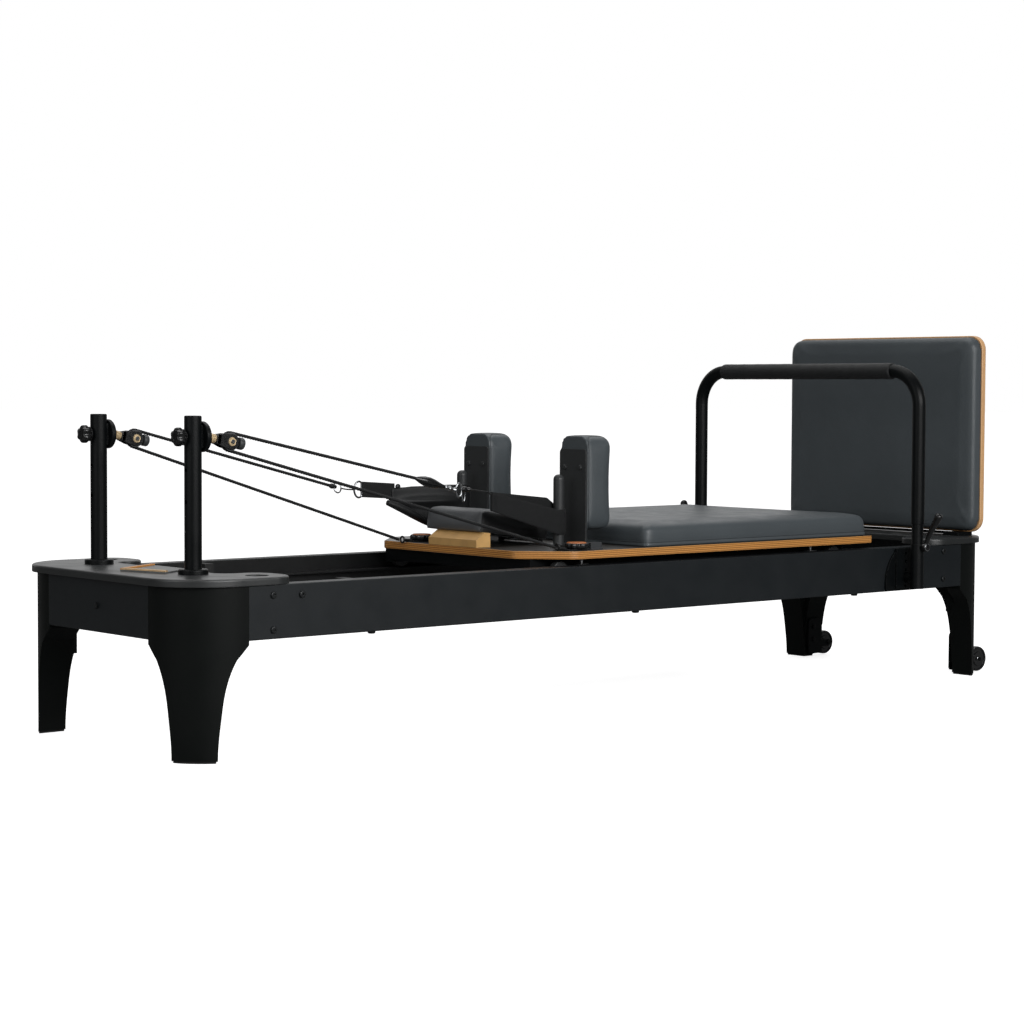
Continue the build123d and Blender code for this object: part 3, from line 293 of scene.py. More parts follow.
def inlay_look():
    """Grey plate with a pale wood lip at the head and an orange one along the far edge."""
    look = Look("inlay")
    normal, _ = look.rounded(0.0008)
    x, y, z = (look.part(look.place, axis) for axis in "XYZ")
    wood = look.math("GREATER_THAN", z, 0.3531)
    far = look.math("GREATER_THAN", look.plus(y, look.times(x, 0.4)), -0.488)
    grain = look.noise(60, 4, (1.0, 6.0, 6.0))
    pale = look.tone((0.62, 0.42, 0.22), grain, 0.15)
    orange = look.tone((0.60, 0.25, 0.045), grain, 0.15)
    grey = look.tone((0.14, 0.145, 0.145), look.noise(30, 3), 0.1)
    shade = look.mix(wood, grey, look.mix(far, pale, orange))
    return look.finish(shade, 0.45, grain, 0.0001, normal)


RAIL_PAINT = painted("rail_paint", (0.0068, 0.0094, 0.0112), 0.46)
# The rails' inner faces get painted shade, standing for the shadow that the rails cast on each other.
SIDE_RAIL = painted("side_rail_paint", (0.0058, 0.0082, 0.0100), 0.46, painted_shade_inside=288.0)
LEG_PAINT = painted("leg_cast", (0.0036, 0.0046, 0.0043), 0.5, grain=800, depth=0.0001, wear=1.8, spec=0.13)
PLATE = painted("end_plate", (0.0125, 0.0145, 0.0148), 0.38, grain=1500, radius=0.003, spec=0.85)
STEEL = painted("black_steel", (0.0022, 0.003, 0.0034), 0.4, wear=2.4, spec=0.17)
BRACKET_STEEL = painted("bracket_steel", (0.030, 0.032, 0.033), 0.42)
FASTENER = moulded("fastener", (0.02, 0.022, 0.023), 0.3, metal=0.5)
ZINC = moulded("zinc", (0.34, 0.35, 0.36), 0.28, metal=1.0)
CHROME = moulded("chrome", (0.34, 0.35, 0.36), 0.18, metal=1.0, depth=0.00001)
BRASS = moulded("cream_brass", (0.60, 0.46, 0.27), 0.34, metal=0.2)
SPRING_WIRE = moulded("spring_steel", (0.35, 0.36, 0.37), 0.3, metal=1.0)
PLASTIC = moulded("black_plastic", (0.005, 0.0054, 0.0058), 0.26, coat=0.12)
DARK_PLASTIC = moulded("grey_plastic", (0.035, 0.038, 0.04), 0.4)
ORANGE = moulded("orange_cap", (0.42, 0.13, 0.035), 0.42)
WHEEL_PU = moulded("track_wheel", (0.02, 0.021, 0.022), 0.5)
GLOSS = moulded("gloss_wheel", (0.011, 0.0115, 0.012), 0.2, coat=0.4)
RUBBER = moulded("rubber", (0.012, 0.012, 0.012), 0.75, depth=0.00012)
VINYL = vinyl("slate_vinyl", (0.061, 0.072, 0.079))
HEAD_VINYL = vinyl("headrest_vinyl", (0.086, 0.091, 0.096))
# Near-black vinyl for the headrest's flanks: painted shade, standing for the shadow of the straps beside
# them.
HEAD_SIDE_SHADE = vinyl("headrest_side", (0.012, 0.013, 0.014), 0.5)
PIPING = vinyl("seam_vinyl", (0.028, 0.033, 0.036), 0.5)
FOAM = foam("grip_foam", (0.009, 0.0098, 0.0105))
CORD = cord("rope_cord", (0.006, 0.0064, 0.007))
WEB = webbing("strap_web", (0.0055, 0.006, 0.0065))
NEOPRENE = neoprene("strap_neoprene", (0.0048, 0.0054, 0.006))
PLY_LIGHT, PLY_DARK = (0.66, 0.31, 0.075), (0.30, 0.115, 0.024)
# The deck's top-face colour is near black: painted shade for the shadow that the straps and headrest throw on
# its wood top.
DECK_PLY = wood("deck_plywood", "Z", 349, 18, 9, PLY_LIGHT, PLY_DARK, (0.020, 0.016, 0.013))
BOARD_LIGHT, BOARD_DARK, BOARD_FACE = (0.92, 0.56, 0.28), (0.52, 0.28, 0.12), (0.54, 0.30, 0.13)
UPRIGHT_GRAIN = (26.0, 26.0, 1.2)
BOARD_PLY = wood("board_plywood", "X", 1150, 15, 7, BOARD_LIGHT, BOARD_DARK, BOARD_FACE, UPRIGHT_GRAIN)

INLAY = inlay_look()
WEDGE = zoned("headrest_mount", -150, (0.58, 0.34, 0.12), (0.02, 0.02, 0.02), (0.5, 0.4), (0, 0.6))
ADJUSTER = zoned("rope_adjuster", -161, (0.008, 0.0085, 0.009), (0.035, 0.038, 0.041), (0.35, 0.45))

LOOK_NODES = (
    (SIDE_RAIL, "right_rail left_rail"),
    (RAIL_PAINT, "crossmembers"),
    (LEG_PAINT, "right_head_leg left_head_leg right_foot_leg left_foot_leg"),
    (RUBBER, "rubber_feet end_stops"),
    (PLATE, "head_top_plate foot_top_plate"),
    (INLAY, "inlay_panel"),
    (STEEL, "cross_braces rope_risers riser_sockets pulley_brackets footbar_side_plates wheel_brackets"),
    (STEEL, "carriage_chassis footbar_sleeves footbar_tube jump_board_stand"),
    (FASTENER, "frame_bolts"),
    (ZINC, "spring_bar wheel_pins"),
    (DECK_PLY, "carriage_deck"),
    (BOARD_PLY, "jump_board_panel"),
    (WHEEL_PU, "head_load_wheels foot_load_wheels right_head_guide_wheel left_head_guide_wheel"),
    (WHEEL_PU, "right_foot_guide_wheel left_foot_guide_wheel"),
    (ADJUSTER, "rope_adjusters"),
    (WEDGE, "headrest_mount"),
    (BRACKET_STEEL, "right_rest_bracket left_rest_bracket"),
    (DARK_PLASTIC, "right_sheave left_sheave"),
)


# ---- mesh helpers -------------------------------------------------------------------------------
def place_mesh(name, faces_by_look, smooth=True):
    """One object from [(vertices in mm, faces, material), ...]."""
    vertices, faces, index, looks = [], [], [], []
    for points, polygons, look in faces_by_look:
        start = len(vertices)
        if look not in looks:
            looks.append(look)
        vertices.extend(tuple(c * MM for c in p) for p in points)
        faces.extend([i + start for i in polygon] for polygon in polygons)
        index.extend([looks.index(look)] * len(polygons))
    mesh = bpy.data.meshes.new(name)
    mesh.from_pydata(vertices, [], faces)
    for look in looks:
        mesh.materials.append(look)
    mesh.polygons.foreach_set("material_index", index)
    mesh.polygons.foreach_set("use_smooth", [smooth] * len(mesh.polygons))
    build = bmesh.new()
    build.from_mesh(mesh)
    bmesh.ops.recalc_face_normals(build, faces=build.faces)
    build.to_mesh(mesh)
    build.free()
    mesh.update()
    piece = bpy.data.objects.new(name, mesh)
    scene.collection.objects.link(piece)
    return piece


def sharp_edges(piece, angle):
    """Marks edges sharper than the angle so that flats and rims shade cleanly."""
    build = bmesh.new()
    build.from_mesh(piece.data)
    for edge in build.edges:
        if len(edge.link_faces) == 2 and edge.calc_face_angle(0) > math.radians(angle):
            edge.smooth = False
    build.to_mesh(piece.data)
    build.free()
    return piece


def dress(mesh, *looks):
    """Replaces the materials, and gives every face the first."""
    mesh.materials.clear()
    for look in looks:
        mesh.materials.append(look)
    mesh.polygons.foreach_set("material_index", [0] * len(mesh.polygons))


def coords_of(mesh):
    return np.array([v.co for v in mesh.vertices], float)


def move_points(mesh, coords):
    mesh.vertices.foreach_set("co", coords.ravel())
    mesh.update()


def bake(piece):
    """Applies the modifiers."""
    graph = bpy.context.evaluated_depsgraph_get()
    piece.data = bpy.data.meshes.new_from_object(piece.evaluated_get(graph))
    piece.modifiers.clear()


def seat(piece, body, slot, *nodes):
    """Parents a finished piece to its body and hides the CAD nodes it stands for; slot is not used."""
    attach(piece, body)
    if nodes:
        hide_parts(*nodes)
    return piece


def fitting(name, parts, body, slot, node, angle):
    """A piece with crisp edges that stands for one CAD node."""
    return seat(sharp_edges(place_mesh(name, parts), angle), body, slot, node)


def square_to(axis):
    """A direction at right angles to the axis, upwards where it can be."""
    seed = Vector((0, 0, 1)) if abs(axis.z) < 0.9 else Vector((1, 0, 0))
    return (seed - axis * seed.dot(axis)).normalized()


def frames_along(points, closed=False):
    """Tangent, normal and side vectors carried along a path without twisting."""
    count = len(points)
    tangents = []
    for i in range(count):
        before = points[(i - 1) % count] if closed or i else points[0]
        after = points[(i + 1) % count] if closed or i < count - 1 else points[-1]
        tangents.append((after - before).normalized())
    normal = square_to(tangents[0])
    out = []
    for tangent in tangents:
        normal = (normal - tangent * normal.dot(tangent)).normalized()
        out.append((tangent, normal, tangent.cross(normal)))
    return out


def ring(centre, normal, side, sizes):
    """Points round a centre, one for each radius."""
    out = []
    for k, size in enumerate(sizes):
        turn = 2 * math.pi * k / len(sizes)
        out.append(centre + normal * (size * math.cos(turn)) + side * (size * math.sin(turn)))
    return out


def skin(rings, sides, closed=False):
    """Faces between rings of points, with end caps unless the last ring joins the first."""
    faces = []
    for i in range(rings if closed else rings - 1):
        a, b = i * sides, ((i + 1) % rings) * sides
        for k in range(sides):
            n = (k + 1) % sides
            faces.append([a + k, a + n, b + n, b + k])
    if not closed:
        faces.append(list(range(sides))[::-1])
        faces.append([(rings - 1) * sides + k for k in range(sides)])
    return faces


def tube(points, radius, sides=10, closed=False):
    """Round bar along a path; radius is a number or one number per point."""
    points = [Vector(p) for p in points]
    radii = radius if isinstance(radius, (list, tuple)) else [radius] * len(points)
    vertices = []
    for point, size, (_, normal, side) in zip(points, radii, frames_along(points, closed)):
        vertices += ring(point, normal, side, [size] * sides)
    return vertices, skin(len(points), sides, closed)


def lathe(origin, axis, profile, sides=32, lobes=0, depth=0.0):
    """Turned form: profile is (distance along the axis, radius, share of the lobes if any)."""
    origin, axis = Vector(origin), Vector(axis).normalized()
    normal = square_to(axis)
    waves = [depth * math.cos(lobes * 2 * math.pi * k / sides) for k in range(sides)]
    vertices = []
    for along, radius, *share in profile:
        share = share[0] if share else 0.0
        sizes = [max(radius * (1 + share * wave), 0.02) for wave in waves]
        vertices += ring(origin + axis * along, normal, axis.cross(normal), sizes)
    return vertices, skin(len(profile), sides)


def plate(outline, origin, x_dir, y_dir, thick, bevel=0.5):
    """Flat plate from a 2-D outline, with its edges eased, standing on a plane."""
    origin, x_dir, y_dir = Vector(origin), Vector(x_dir).normalized(), Vector(y_dir).normalized()
    normal = x_dir.cross(y_dir)
    middle = Vector((sum(p[0] for p in outline), sum(p[1] for p in outline), 0)) / len(outline)
    vertices = []
    levels = ((0, bevel), (bevel, 0), (thick - bevel, 0), (thick, bevel))
    for height, inset in levels:
        for px, py in outline:
            flat = Vector((px, py, 0)) - middle
            flat = flat * (1 - inset / max(flat.length, inset + 1)) + middle
            vertices.append(origin + x_dir * flat.x + y_dir * flat.y + normal * height)
    return vertices, skin(len(levels), len(outline))


def line(start, end, step):
    start, end = Vector(start), Vector(end)
    count = max(int((end - start).length / step), 1)
    return [start.lerp(end, i / count) for i in range(count + 1)]


def arc(centre, radius, first, last, count, x_dir=(1, 0, 0), y_dir=(0, 0, 1)):
    centre, x_dir, y_dir = Vector(centre), Vector(x_dir), Vector(y_dir)
    turns = [first + (last - first) * i / count for i in range(count + 1)]
    return [centre + x_dir * (radius * math.cos(t)) + y_dir * (radius * math.sin(t)) for t in turns]


def bezier(a, b, c, d, count):
    a, b, c, d = (Vector(p) for p in (a, b, c, d))
    out = []
    for i in range(count + 1):
        t = i / count
        out.append(a * (1 - t) ** 3 + b * (3 * t * (1 - t) ** 2) + c * (3 * t * t * (1 - t)) + d * t**3)
    return out


def lengths_along(path):
    lengths = [0.0]
    for a, b in zip(path, path[1:]):
        lengths.append(lengths[-1] + (b - a).length)
    return lengths


def even(points, step):
    """The same path with points at even distances."""
    points = [Vector(p) for p in points]
    lengths = lengths_along(points)
    count = max(int(lengths[-1] / step), 2)
    out, i = [], 0
    for k in range(count + 1):
        target = lengths[-1] * k / count
        while i < len(points) - 2 and lengths[i + 1] < target:
            i += 1
        share = (target - lengths[i]) / max(lengths[i + 1] - lengths[i], 1e-9)
        out.append(points[i].lerp(points[i + 1], min(max(share, 0), 1)))
    return out


def twisted(points, radius, pitch=19.0, strands=3, step=2.0, sides=6):
    """Rope laid from strands that wind round the path."""
    path = even(points, step)
    frames = frames_along(path)
    out = []
    for s in range(strands):
        winding = []
        for i, (point, (_, normal, side)) in enumerate(zip(path, frames)):
            turn = 2 * math.pi * (i * step / pitch + s / strands)
            winding.append(point + (normal * math.cos(turn) + side * math.sin(turn)) * (radius * 0.48))
        out.append(tube(winding, radius * 0.56, sides))
    return out


def share_along(path):
    """Distance share of each point, 0 at the start and 1 at the end."""
    lengths = lengths_along(path)
    return [value / lengths[-1] for value in lengths]


def ribbon(path, lows, highs, thick, columns, rib=0.0, fold=None):
    """Webbing on edge: a path in plan, its lower and upper height at each point, and ribs along it.

    fold is (height, depth, spread): a crease that pushes the first leg of a loop sideways."""
    count = len(path)
    shares = share_along(path)
    across = []
    for tangent, _, _ in frames_along(path):
        flat = Vector((tangent.x, tangent.y, 0)).normalized()
        across.append(Vector((-flat.y, flat.x, 0)))
    vertices, faces = [], []
    for layer in (-1, 1):
        for point, low, high, side, place in zip(path, lows, highs, across, shares):
            for k in range(columns + 1):
                share = k / columns
                edge = 1 - abs(2 * share - 1) ** 8
                swell = rib * math.cos(math.pi * k) if 0 < k < columns else 0.0
                offset = layer * (thick / 2 * (0.55 + 0.45 * edge) + swell)
                if fold and place < 0.42:
                    gap = (low + (high - low) * share - fold[0]) / fold[2]
                    offset -= fold[1] * math.sin(math.pi * place / 0.42) * math.exp(-gap * gap)
                vertices.append(Vector((point.x, point.y, low + (high - low) * share)) + side * offset)
    row = columns + 1
    sheet = count * row
    for i in range(count - 1):
        for k in range(columns):
            a = i * row + k
            faces.append([a, a + 1, a + row + 1, a + row])
            faces.append([sheet + a, sheet + a + row, sheet + a + row + 1, sheet + a + 1])
        for k in (0, columns):
            a = i * row + k
            faces.append([a, a + row, sheet + a + row, sheet + a])
    for i in (0, count - 1):
        for k in range(columns):
            a = i * row + k
            faces.append([a, a + 1, sheet + a + 1, sheet + a])
    return vertices, faces


# ---- soft pads ----------------------------------------------------------------------------------
def settle(piece, held, pressure, cap):
    """Inflates the cover over its filling with the held points fixed, and caps how far any point moves."""
    group = piece.vertex_groups.new(name="held")
    group.add([int(i) for i in np.flatnonzero(held)], 1.0, "REPLACE")
    cloth = piece.modifiers.new("Cloth", "CLOTH")
    settings = cloth.settings
    settings.quality = 4
    settings.mass = 0.3
    settings.tension_stiffness = 18
    settings.compression_stiffness = 18
    settings.bending_stiffness = 2.0
    settings.use_pressure = True
    settings.uniform_pressure_force = pressure
    settings.effector_weights.gravity = 0
    settings.vertex_group_mass = "held"
    cloth.point_cache.frame_start = 1
    cloth.point_cache.frame_end = CLOTH_STEPS
    scene.frame_start, scene.frame_end = 1, CLOTH_STEPS
    for step in range(1, CLOTH_STEPS + 1):
        scene.frame_set(step)
    graph = bpy.context.evaluated_depsgraph_get()
    swollen = coords_of(piece.evaluated_get(graph).data)
    piece.modifiers.remove(cloth)
    rest = coords_of(piece.data)
    move = swollen - rest
    length = np.linalg.norm(move, axis=1)
    limit = cap * MM
    scale = np.where(length > 1e-9, limit * np.tanh(length / limit) / np.maximum(length, 1e-9), 0)
    move_points(piece.data, rest + move * scale[:, None])
    scene.frame_set(1)


def relax(coords, edges, rounds, held=None):
    """Evens out the mesh by averaging each point with its neighbours."""
    a, b = edges[:, 0], edges[:, 1]
    degree = np.bincount(a, minlength=len(coords)) + np.bincount(b, minlength=len(coords))
    for _ in range(rounds):
        total = np.zeros_like(coords)
        np.add.at(total, a, coords[b])
        np.add.at(total, b, coords[a])
        smooth = coords * 0.5 + total / degree[:, None] * 0.5
        coords = smooth if held is None else np.where(held[:, None], coords, smooth)
    return coords


def wrap_round(mesh, backing, to_flat, lowest):
    """Replaces the mesh with the hull of itself and the backing board above a height."""
    build = bmesh.new()
    build.from_mesh(mesh)
    for vertex in backing.vertices:
        place = to_flat @ vertex.co
        if place.z > lowest:
            build.verts.new(place)
    hull = bmesh.ops.convex_hull(build, input=build.verts)
    loose = {e for e in hull["geom_interior"] + hull["geom_unused"] if isinstance(e, bmesh.types.BMVert)}
    bmesh.ops.delete(build, geom=list(loose), context="VERTS")
    build.to_mesh(mesh)
    build.free()
    mesh.update()


def flatten(tilt, pivot):
    """Turns a sloping pad flat about its hinge."""
    shift = Matrix.Translation(Vector(pivot) * MM)
    return shift @ Matrix.Rotation(-tilt, 4, "Y") @ shift.inverted()


def pad_from(name, node, voxel, shrink, cap, base, pressure=4.0, relax_rounds=3, to_flat=None, wrapped=None):
    """Soft pad in the place of a CAD solid: shrunk, remeshed, inflated off its backing and subdivided.

    base is (axis, sign) of the side that lies flat on the backing. wrapped is (node, lowest height): a board
    that the cover is drawn round."""
    axis, sign = base
    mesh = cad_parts[node].data.copy()
    mesh.materials.clear()
    pad = bpy.data.objects.new(name, mesh)
    scene.collection.objects.link(pad)
    to_flat = to_flat or Matrix()
    mesh.transform(to_flat)
    if wrapped:
        wrap_round(mesh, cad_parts[wrapped[0]].data, to_flat, wrapped[1] * MM)
    coords = coords_of(mesh)
    low, high = coords.min(0), coords.max(0)
    floor = (low if sign < 0 else high)[axis]
    middle = (low + high) / 2
    middle[axis] = floor
    span = np.abs(np.where(np.arange(3) == axis, (high - low)[axis], (high - low) / 2))
    move_points(mesh, (coords - middle) * (1 - shrink * MM / span) + middle)
    remesh = pad.modifiers.new("Remesh", "REMESH")
    remesh.mode = "VOXEL"
    remesh.voxel_size = voxel * MM
    bake(pad)
    coords = coords_of(pad.data)
    edges = np.array([e.vertices for e in pad.data.edges], int)
    held = (coords[:, axis] - floor) * -sign < voxel * 0.8 * MM
    move_points(pad.data, relax(coords, edges, relax_rounds, held))
    settle(pad, held, pressure, cap)
    coords = relax(coords_of(pad.data), edges, 3, held)
    grow = 1.5 * MM
    coords = np.clip(coords, low - grow, high + grow)
    coords[:, axis] = (np.maximum if sign < 0 else np.minimum)(coords[:, axis], floor)
    coords[held, axis] = floor
    move_points(pad.data, coords)
    pad.modifiers.new("Subdivision", "SUBSURF").levels = 1
    bake(pad)
    pad.data.transform(to_flat.inverted())
    dress(pad.data, VINYL)
    pad.data.polygons.foreach_set("use_smooth", [True] * len(pad.data.polygons))
    pad.data.update()
    return pad


def sew(pad, path, outward, width, depth, welt):
    """Draws a seam in: the cover dips along the path and a raised welt lies in the groove."""
    tree = BVHTree.FromObject(pad, bpy.context.evaluated_depsgraph_get())
    laid = []
    for point, direction in zip(path, outward):
        place, normal, _, _ = tree.ray_cast(point * MM + direction * 0.06, -direction)
        if place is not None:
            laid.append((place, normal))
    from_path = np.array([place for place, _ in laid], float)
    coords = coords_of(pad.data)
    normals = np.array([v.normal for v in pad.data.vertices], float)
    nearest = np.full(len(coords), 1.0)
    for chunk in np.array_split(from_path, max(len(from_path) // 40, 1)):
        gap = np.linalg.norm(coords[:, None, :] - chunk[None, :, :], axis=2).min(1)
        nearest = np.minimum(nearest, gap)
    dip = depth * MM * np.exp(-((nearest / (width * MM)) ** 2))
    move_points(pad.data, coords - normals * dip[:, None])
    groove = [(place - normal * (depth * MM * 0.75)) / MM for place, normal in laid]
    add_mesh(pad, [(*tube(groove, welt, 6, True), PIPING)])


def add_mesh(piece, parts):
    """Adds more (vertices in mm, faces, material) to an existing piece."""
    extra = place_mesh("extra", parts)
    build = bmesh.new()
    build.from_mesh(piece.data)
    looks = list(piece.data.materials)
    remap = []
    for look in extra.data.materials:
        if look not in looks:
            looks.append(look)
            piece.data.materials.append(look)
        remap.append(looks.index(look))
    for polygon in extra.data.polygons:
        polygon.material_index = remap[polygon.material_index]
    build.from_mesh(extra.data)
    build.to_mesh(piece.data)
    build.free()
    old = extra.data
    bpy.data.objects.remove(extra)
    bpy.data.meshes.remove(old)
    piece.data.update()


def rounded_loop(half_a, half_b, radius, count):
    """Closed rounded rectangle in two coordinates."""
    out = []
    for quarter, (sa, sb) in enumerate(((1, 1), (-1, 1), (-1, -1), (1, -1))):
        for i in range(count + 1):
            turn = math.pi / 2 * (quarter + i / count)
            a = sa * (half_a - radius) + radius * math.cos(turn)
            b = sb * (half_b - radius) + radius * math.sin(turn)
            out.append((a, b))
    return out


def body_cushion():
    pad = pad_from("carriage_cushion_cover", "carriage_cushion", 6, 2, 4, (2, -1), pressure=5, relax_rounds=2)
    low, high = (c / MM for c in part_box("carriage_cushion"))
    middle = (low + high) / 2
    loop = rounded_loop((high.x - low.x) / 2 - 1, (high.y - low.y) / 2 - 1, 22, 8)
    loop = even([Vector((middle.x + a, middle.y + b, low.z + 9)) for a, b in loop + loop[:1]], 5)[:-1]
    outward = [Vector(((p.x - middle.x) * 0.1, (p.y - middle.y) * 0.15, 0)).normalized() for p in loop]
    sew(pad, loop, outward, 4, 1.6, 0.8)
    return seat(pad, "carriage", "vinyl", "carriage_cushion")


def shoulder_pad(name):
    node = f"{name}_rest_pad"
    pad = pad_from(f"{name}_rest_cover", node, 4.5, 1.5, 3, (0, -1))
    low, high = (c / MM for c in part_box(node))
    middle = (low + high) / 2
    for side in (-1, 1):
        y = middle.y + side * (high.y - low.y) / 2
        loop = rounded_loop((high.x - low.x) / 2 - 3.5, (high.z - low.z) / 2 - 3.5, 20, 8)
        loop = even([Vector((middle.x + a, y, middle.z + b)) for a, b in loop + loop[:1]], 3.5)[:-1]
        sew(pad, loop, [Vector((0, side, 0))] * len(loop), 3.5, 1.3, 0.75)
    return seat(pad, f"{name}_rest", "vinyl", node)


def head_pad():
    """Cover drawn round the headrest's board too, with near-black vinyl on its flanks as painted shade from
    the straps hanging beside it, and the hinge barrel under it.
    """
    board = ("headrest_board", HINGE.z + 3.4)
    pad = pad_from(
        "headrest_cover", "headrest_pad", 5, 1.5, 3, (2, -1), to_flat=flatten(HEAD_TILT, HINGE), wrapped=board
    )
    dress(pad.data, HEAD_VINYL, HEAD_SIDE_SHADE)
    # Faces turned to the sides take the near-black vinyl: painted shade.
    for polygon in pad.data.polygons:
        polygon.material_index = 1 if abs(polygon.normal.y) > 0.72 else 0
    half = 60
    round_bar = [(0, 1.8), (0.4, 3.4), (2 * half - 0.4, 3.4), (2 * half, 1.8)]
    barrel = lathe(HINGE - Vector((0, half, 0)), (0, 1, 0), round_bar, 20)
    under = Vector((-math.cos(HEAD_TILT), 0, math.sin(HEAD_TILT)))
    leaf = [(0, -half), (26, -half), (26, half), (0, half)]
    leaf = plate(leaf, HINGE + Vector((0, 0, 1.6)), under, (0, 1, 0), -1.6, -0.3)
    add_mesh(pad, [(*barrel, ZINC), (*leaf, ZINC)])
    return seat(pad, "headrest", "vinyl", "headrest_pad", "headrest_board")


def board_pad():
    pad = pad_from("jump_board_cover", "jump_board_pad", 6, 0.3, 3, (0, 1))
    return seat(pad, "jump_board", "vinyl", "jump_board_pad")


# ---- ropes and pulleys --------------------------------------------------------------------------
def block_dirs():
    """Along a pulley block and across it, as it hangs at rest."""
    run, drop = math.cos(BLOCK_TILT), math.sin(BLOCK_TILT)
    return Vector((run, 0, -drop)), Vector((drop, 0, run))


def tangent_angle(centre, target, over_top):
    """Where on the sheave a straight run to the target leaves it."""
    dx, dz = target.x - centre.x, target.z - centre.z
    swing = math.pi / 2 - math.asin(ROPE_TURN / math.hypot(dx, dz))
    return math.atan2(dz, dx) + (swing if over_top else -swing)


def strand(name, points):
    """Rope run that stretches between the frame and the carriage."""
    piece = place_mesh(name, [(*part, CORD) for part in twisted(points, ROPE_RADIUS)])
    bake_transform(piece)
    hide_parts("ropes")


def ropes():
    along, _ = block_dirs()
    for name, side in SIDES.items():
        centre = Vector((SWIVEL_X, side * POST_Y, POST_Z)) + along * SHEAVE_REACH
        strap_end = Vector(ROPE_END[name])
        ring = Vector(RING[name])
        high = tangent_angle(centre, strap_end, True)
        low = tangent_angle(centre, ring, False) + 2 * math.pi
        wrap = arc(centre, ROPE_TURN, high, low, 40)
        turn = [(*part, CORD) for part in twisted(wrap, ROPE_RADIUS, step=1.5)]
        seat(place_mesh(f"{name}_rope_turn", turn), "frame", "rope", "ropes")
        strand(f"{name}_rope_out", line(wrap[0], strap_end, 20))
        strand(f"{name}_rope_back", line(wrap[-1], ring, 20))


def pulley_block(name):
    """Ribbed cream swivel, two cheeks, a cream hub with a dark screw and a grey end cap."""
    side = SIDES[name]
    along, up = block_dirs()
    origin = Vector((SWIVEL_X, side * POST_Y, POST_Z))
    hub = origin + along * SHEAVE_REACH
    ribs = [(0.4, 7.6)]
    for k in range(7):
        start = 1.2 + k * 3.2
        crest = 10.4 - 0.28 * k
        root = crest - 1.5
        ribs += [(start, crest), (start + 1.9, crest), (start + 2.2, root), (start + 3.0, root)]
    ribs += [(24.5, 6.2)]
    parts = [(*lathe(origin, along, ribs, 28), BRASS)]
    neck = rounded_loop(4.0, 9.0, 3.0, 4)
    y_dir = Vector((0, 1, 0))
    parts.append((*plate(neck, origin + along * 27.5 - y_dir * 10.5, along, up, -21.0, -0.8), PLASTIC))
    nose = 15.5
    outline = [(24.0, -8.5), (42.0, -13.5)]
    outline += [(SHEAVE_REACH + nose * math.cos(t), nose * math.sin(t)) for t in np.linspace(-1.9, 1.9, 18)]
    outline += [(42.0, 13.5), (24.0, 8.5)]
    boss = [(2.4, 8.8), (3.6, 8.5, 0.6), (4.4, 7.8, 1), (4.0, 6.8, 1), (4.6, 6.2, 1), (5.4, 5.4), (5.5, 0.5)]
    screw = [(5.0, 4.6), (6.4, 4.4), (6.8, 2.8), (6.4, 1.4), (6.1, 0.3)]
    for cheek in (-1, 1):
        inner = y_dir * (cheek * 8.0)
        parts.append((*plate(outline, origin + inner, along, up, -2.5 * cheek, -0.5 * cheek), PLASTIC))
        parts.append((*lathe(hub + inner, y_dir * cheek, boss, 48, 5, 0.07), BRASS))
        parts.append((*lathe(hub + inner, y_dir * cheek, screw, 20), DARK_PLASTIC))
    cap = [(19.2, 10.2), (20.0, 11.6), (22.0, 12.0), (29.5, 12.0), (31.2, 11.2), (32.0, 9.0), (32.2, 0.5)]
    parts.append((*lathe(hub, along, cap, 32), DARK_PLASTIC))
    node = f"{name}_pulley_block"
    return fitting(f"{name}_block_body", parts, node, "black_plastic", node, 40)


def knob_profile(height, radius, boss):
    """Lobed hand knob: (along, radius, share of the lobes)."""
    return [
        (0, boss), (1.5, boss + 1), (3.5, radius * 0.72, 0.5), (6, radius * 0.94, 1), (8, radius, 1),
        (height - 6, radius, 1), (height - 3, radius * 0.95, 1), (height - 1, radius * 0.82, 0.9),
        (height - 0.3, radius * 0.6, 0.4), (height, radius * 0.42), (height - 1.4, radius * 0.36),
        (height - 1.6, 0.3),
    ]


def post_knob(name):
    """Deep-lobed glossy hand knob right against the riser."""
    y = SIDES[name] * POST_Y
    face = POST_X - 17.0
    neck = [(1, 8.6), (3, 9.0), (5, 9.4), (6, 9.4)]
    parts = [(*lathe((face, y, POST_Z), (-1, 0, 0), neck, 32), PLASTIC)]
    knob = lathe((face - 4, y, POST_Z), (-1, 0, 0), knob_profile(22, 16.5, 14), 96, 6, 0.11)
    parts.append((*knob, PLASTIC))
    parts.append((*lathe((face, y, POST_Z), (1, 0, 0), [(-2, 3.9), (35, 3.9)], 16), ZINC))
    node = f"{name}_post_knob"
    return fitting(f"{name}_post_handwheel", parts, node, "black_plastic", node, 50)


def adjuster_knob(name):
    """Broad lobed dial with an orange cap nearly as wide as its rim."""
    x, y = KNOB[name]
    bottom = DECK_TOP + 3.4
    rim = [
        (0, 22.0, 0.3), (1.0, 24.0, 1), (2.4, 25.2, 1), (8.6, 25.2, 1), (10.4, 24.6, 1), (11.6, 23.4, 0.8),
        (11.8, 22.2, 0.2), (11.4, 21.6), (11.2, 0.5),
    ]
    parts = [(*lathe((x, y, bottom), (0, 0, 1), rim, 120, 12, 0.05), PLASTIC)]
    cap = [(11.0, 21.4), (12.6, 21.3), (13.4, 20.6), (13.9, 18.8), (14.0, 0.5)]
    parts.append((*lathe((x, y, bottom), (0, 0, 1), cap, 48), ORANGE))
    node = f"{name}_adjuster_knob"
    return fitting(f"{name}_adjuster_dial", parts, node, "black_plastic", node, 50)


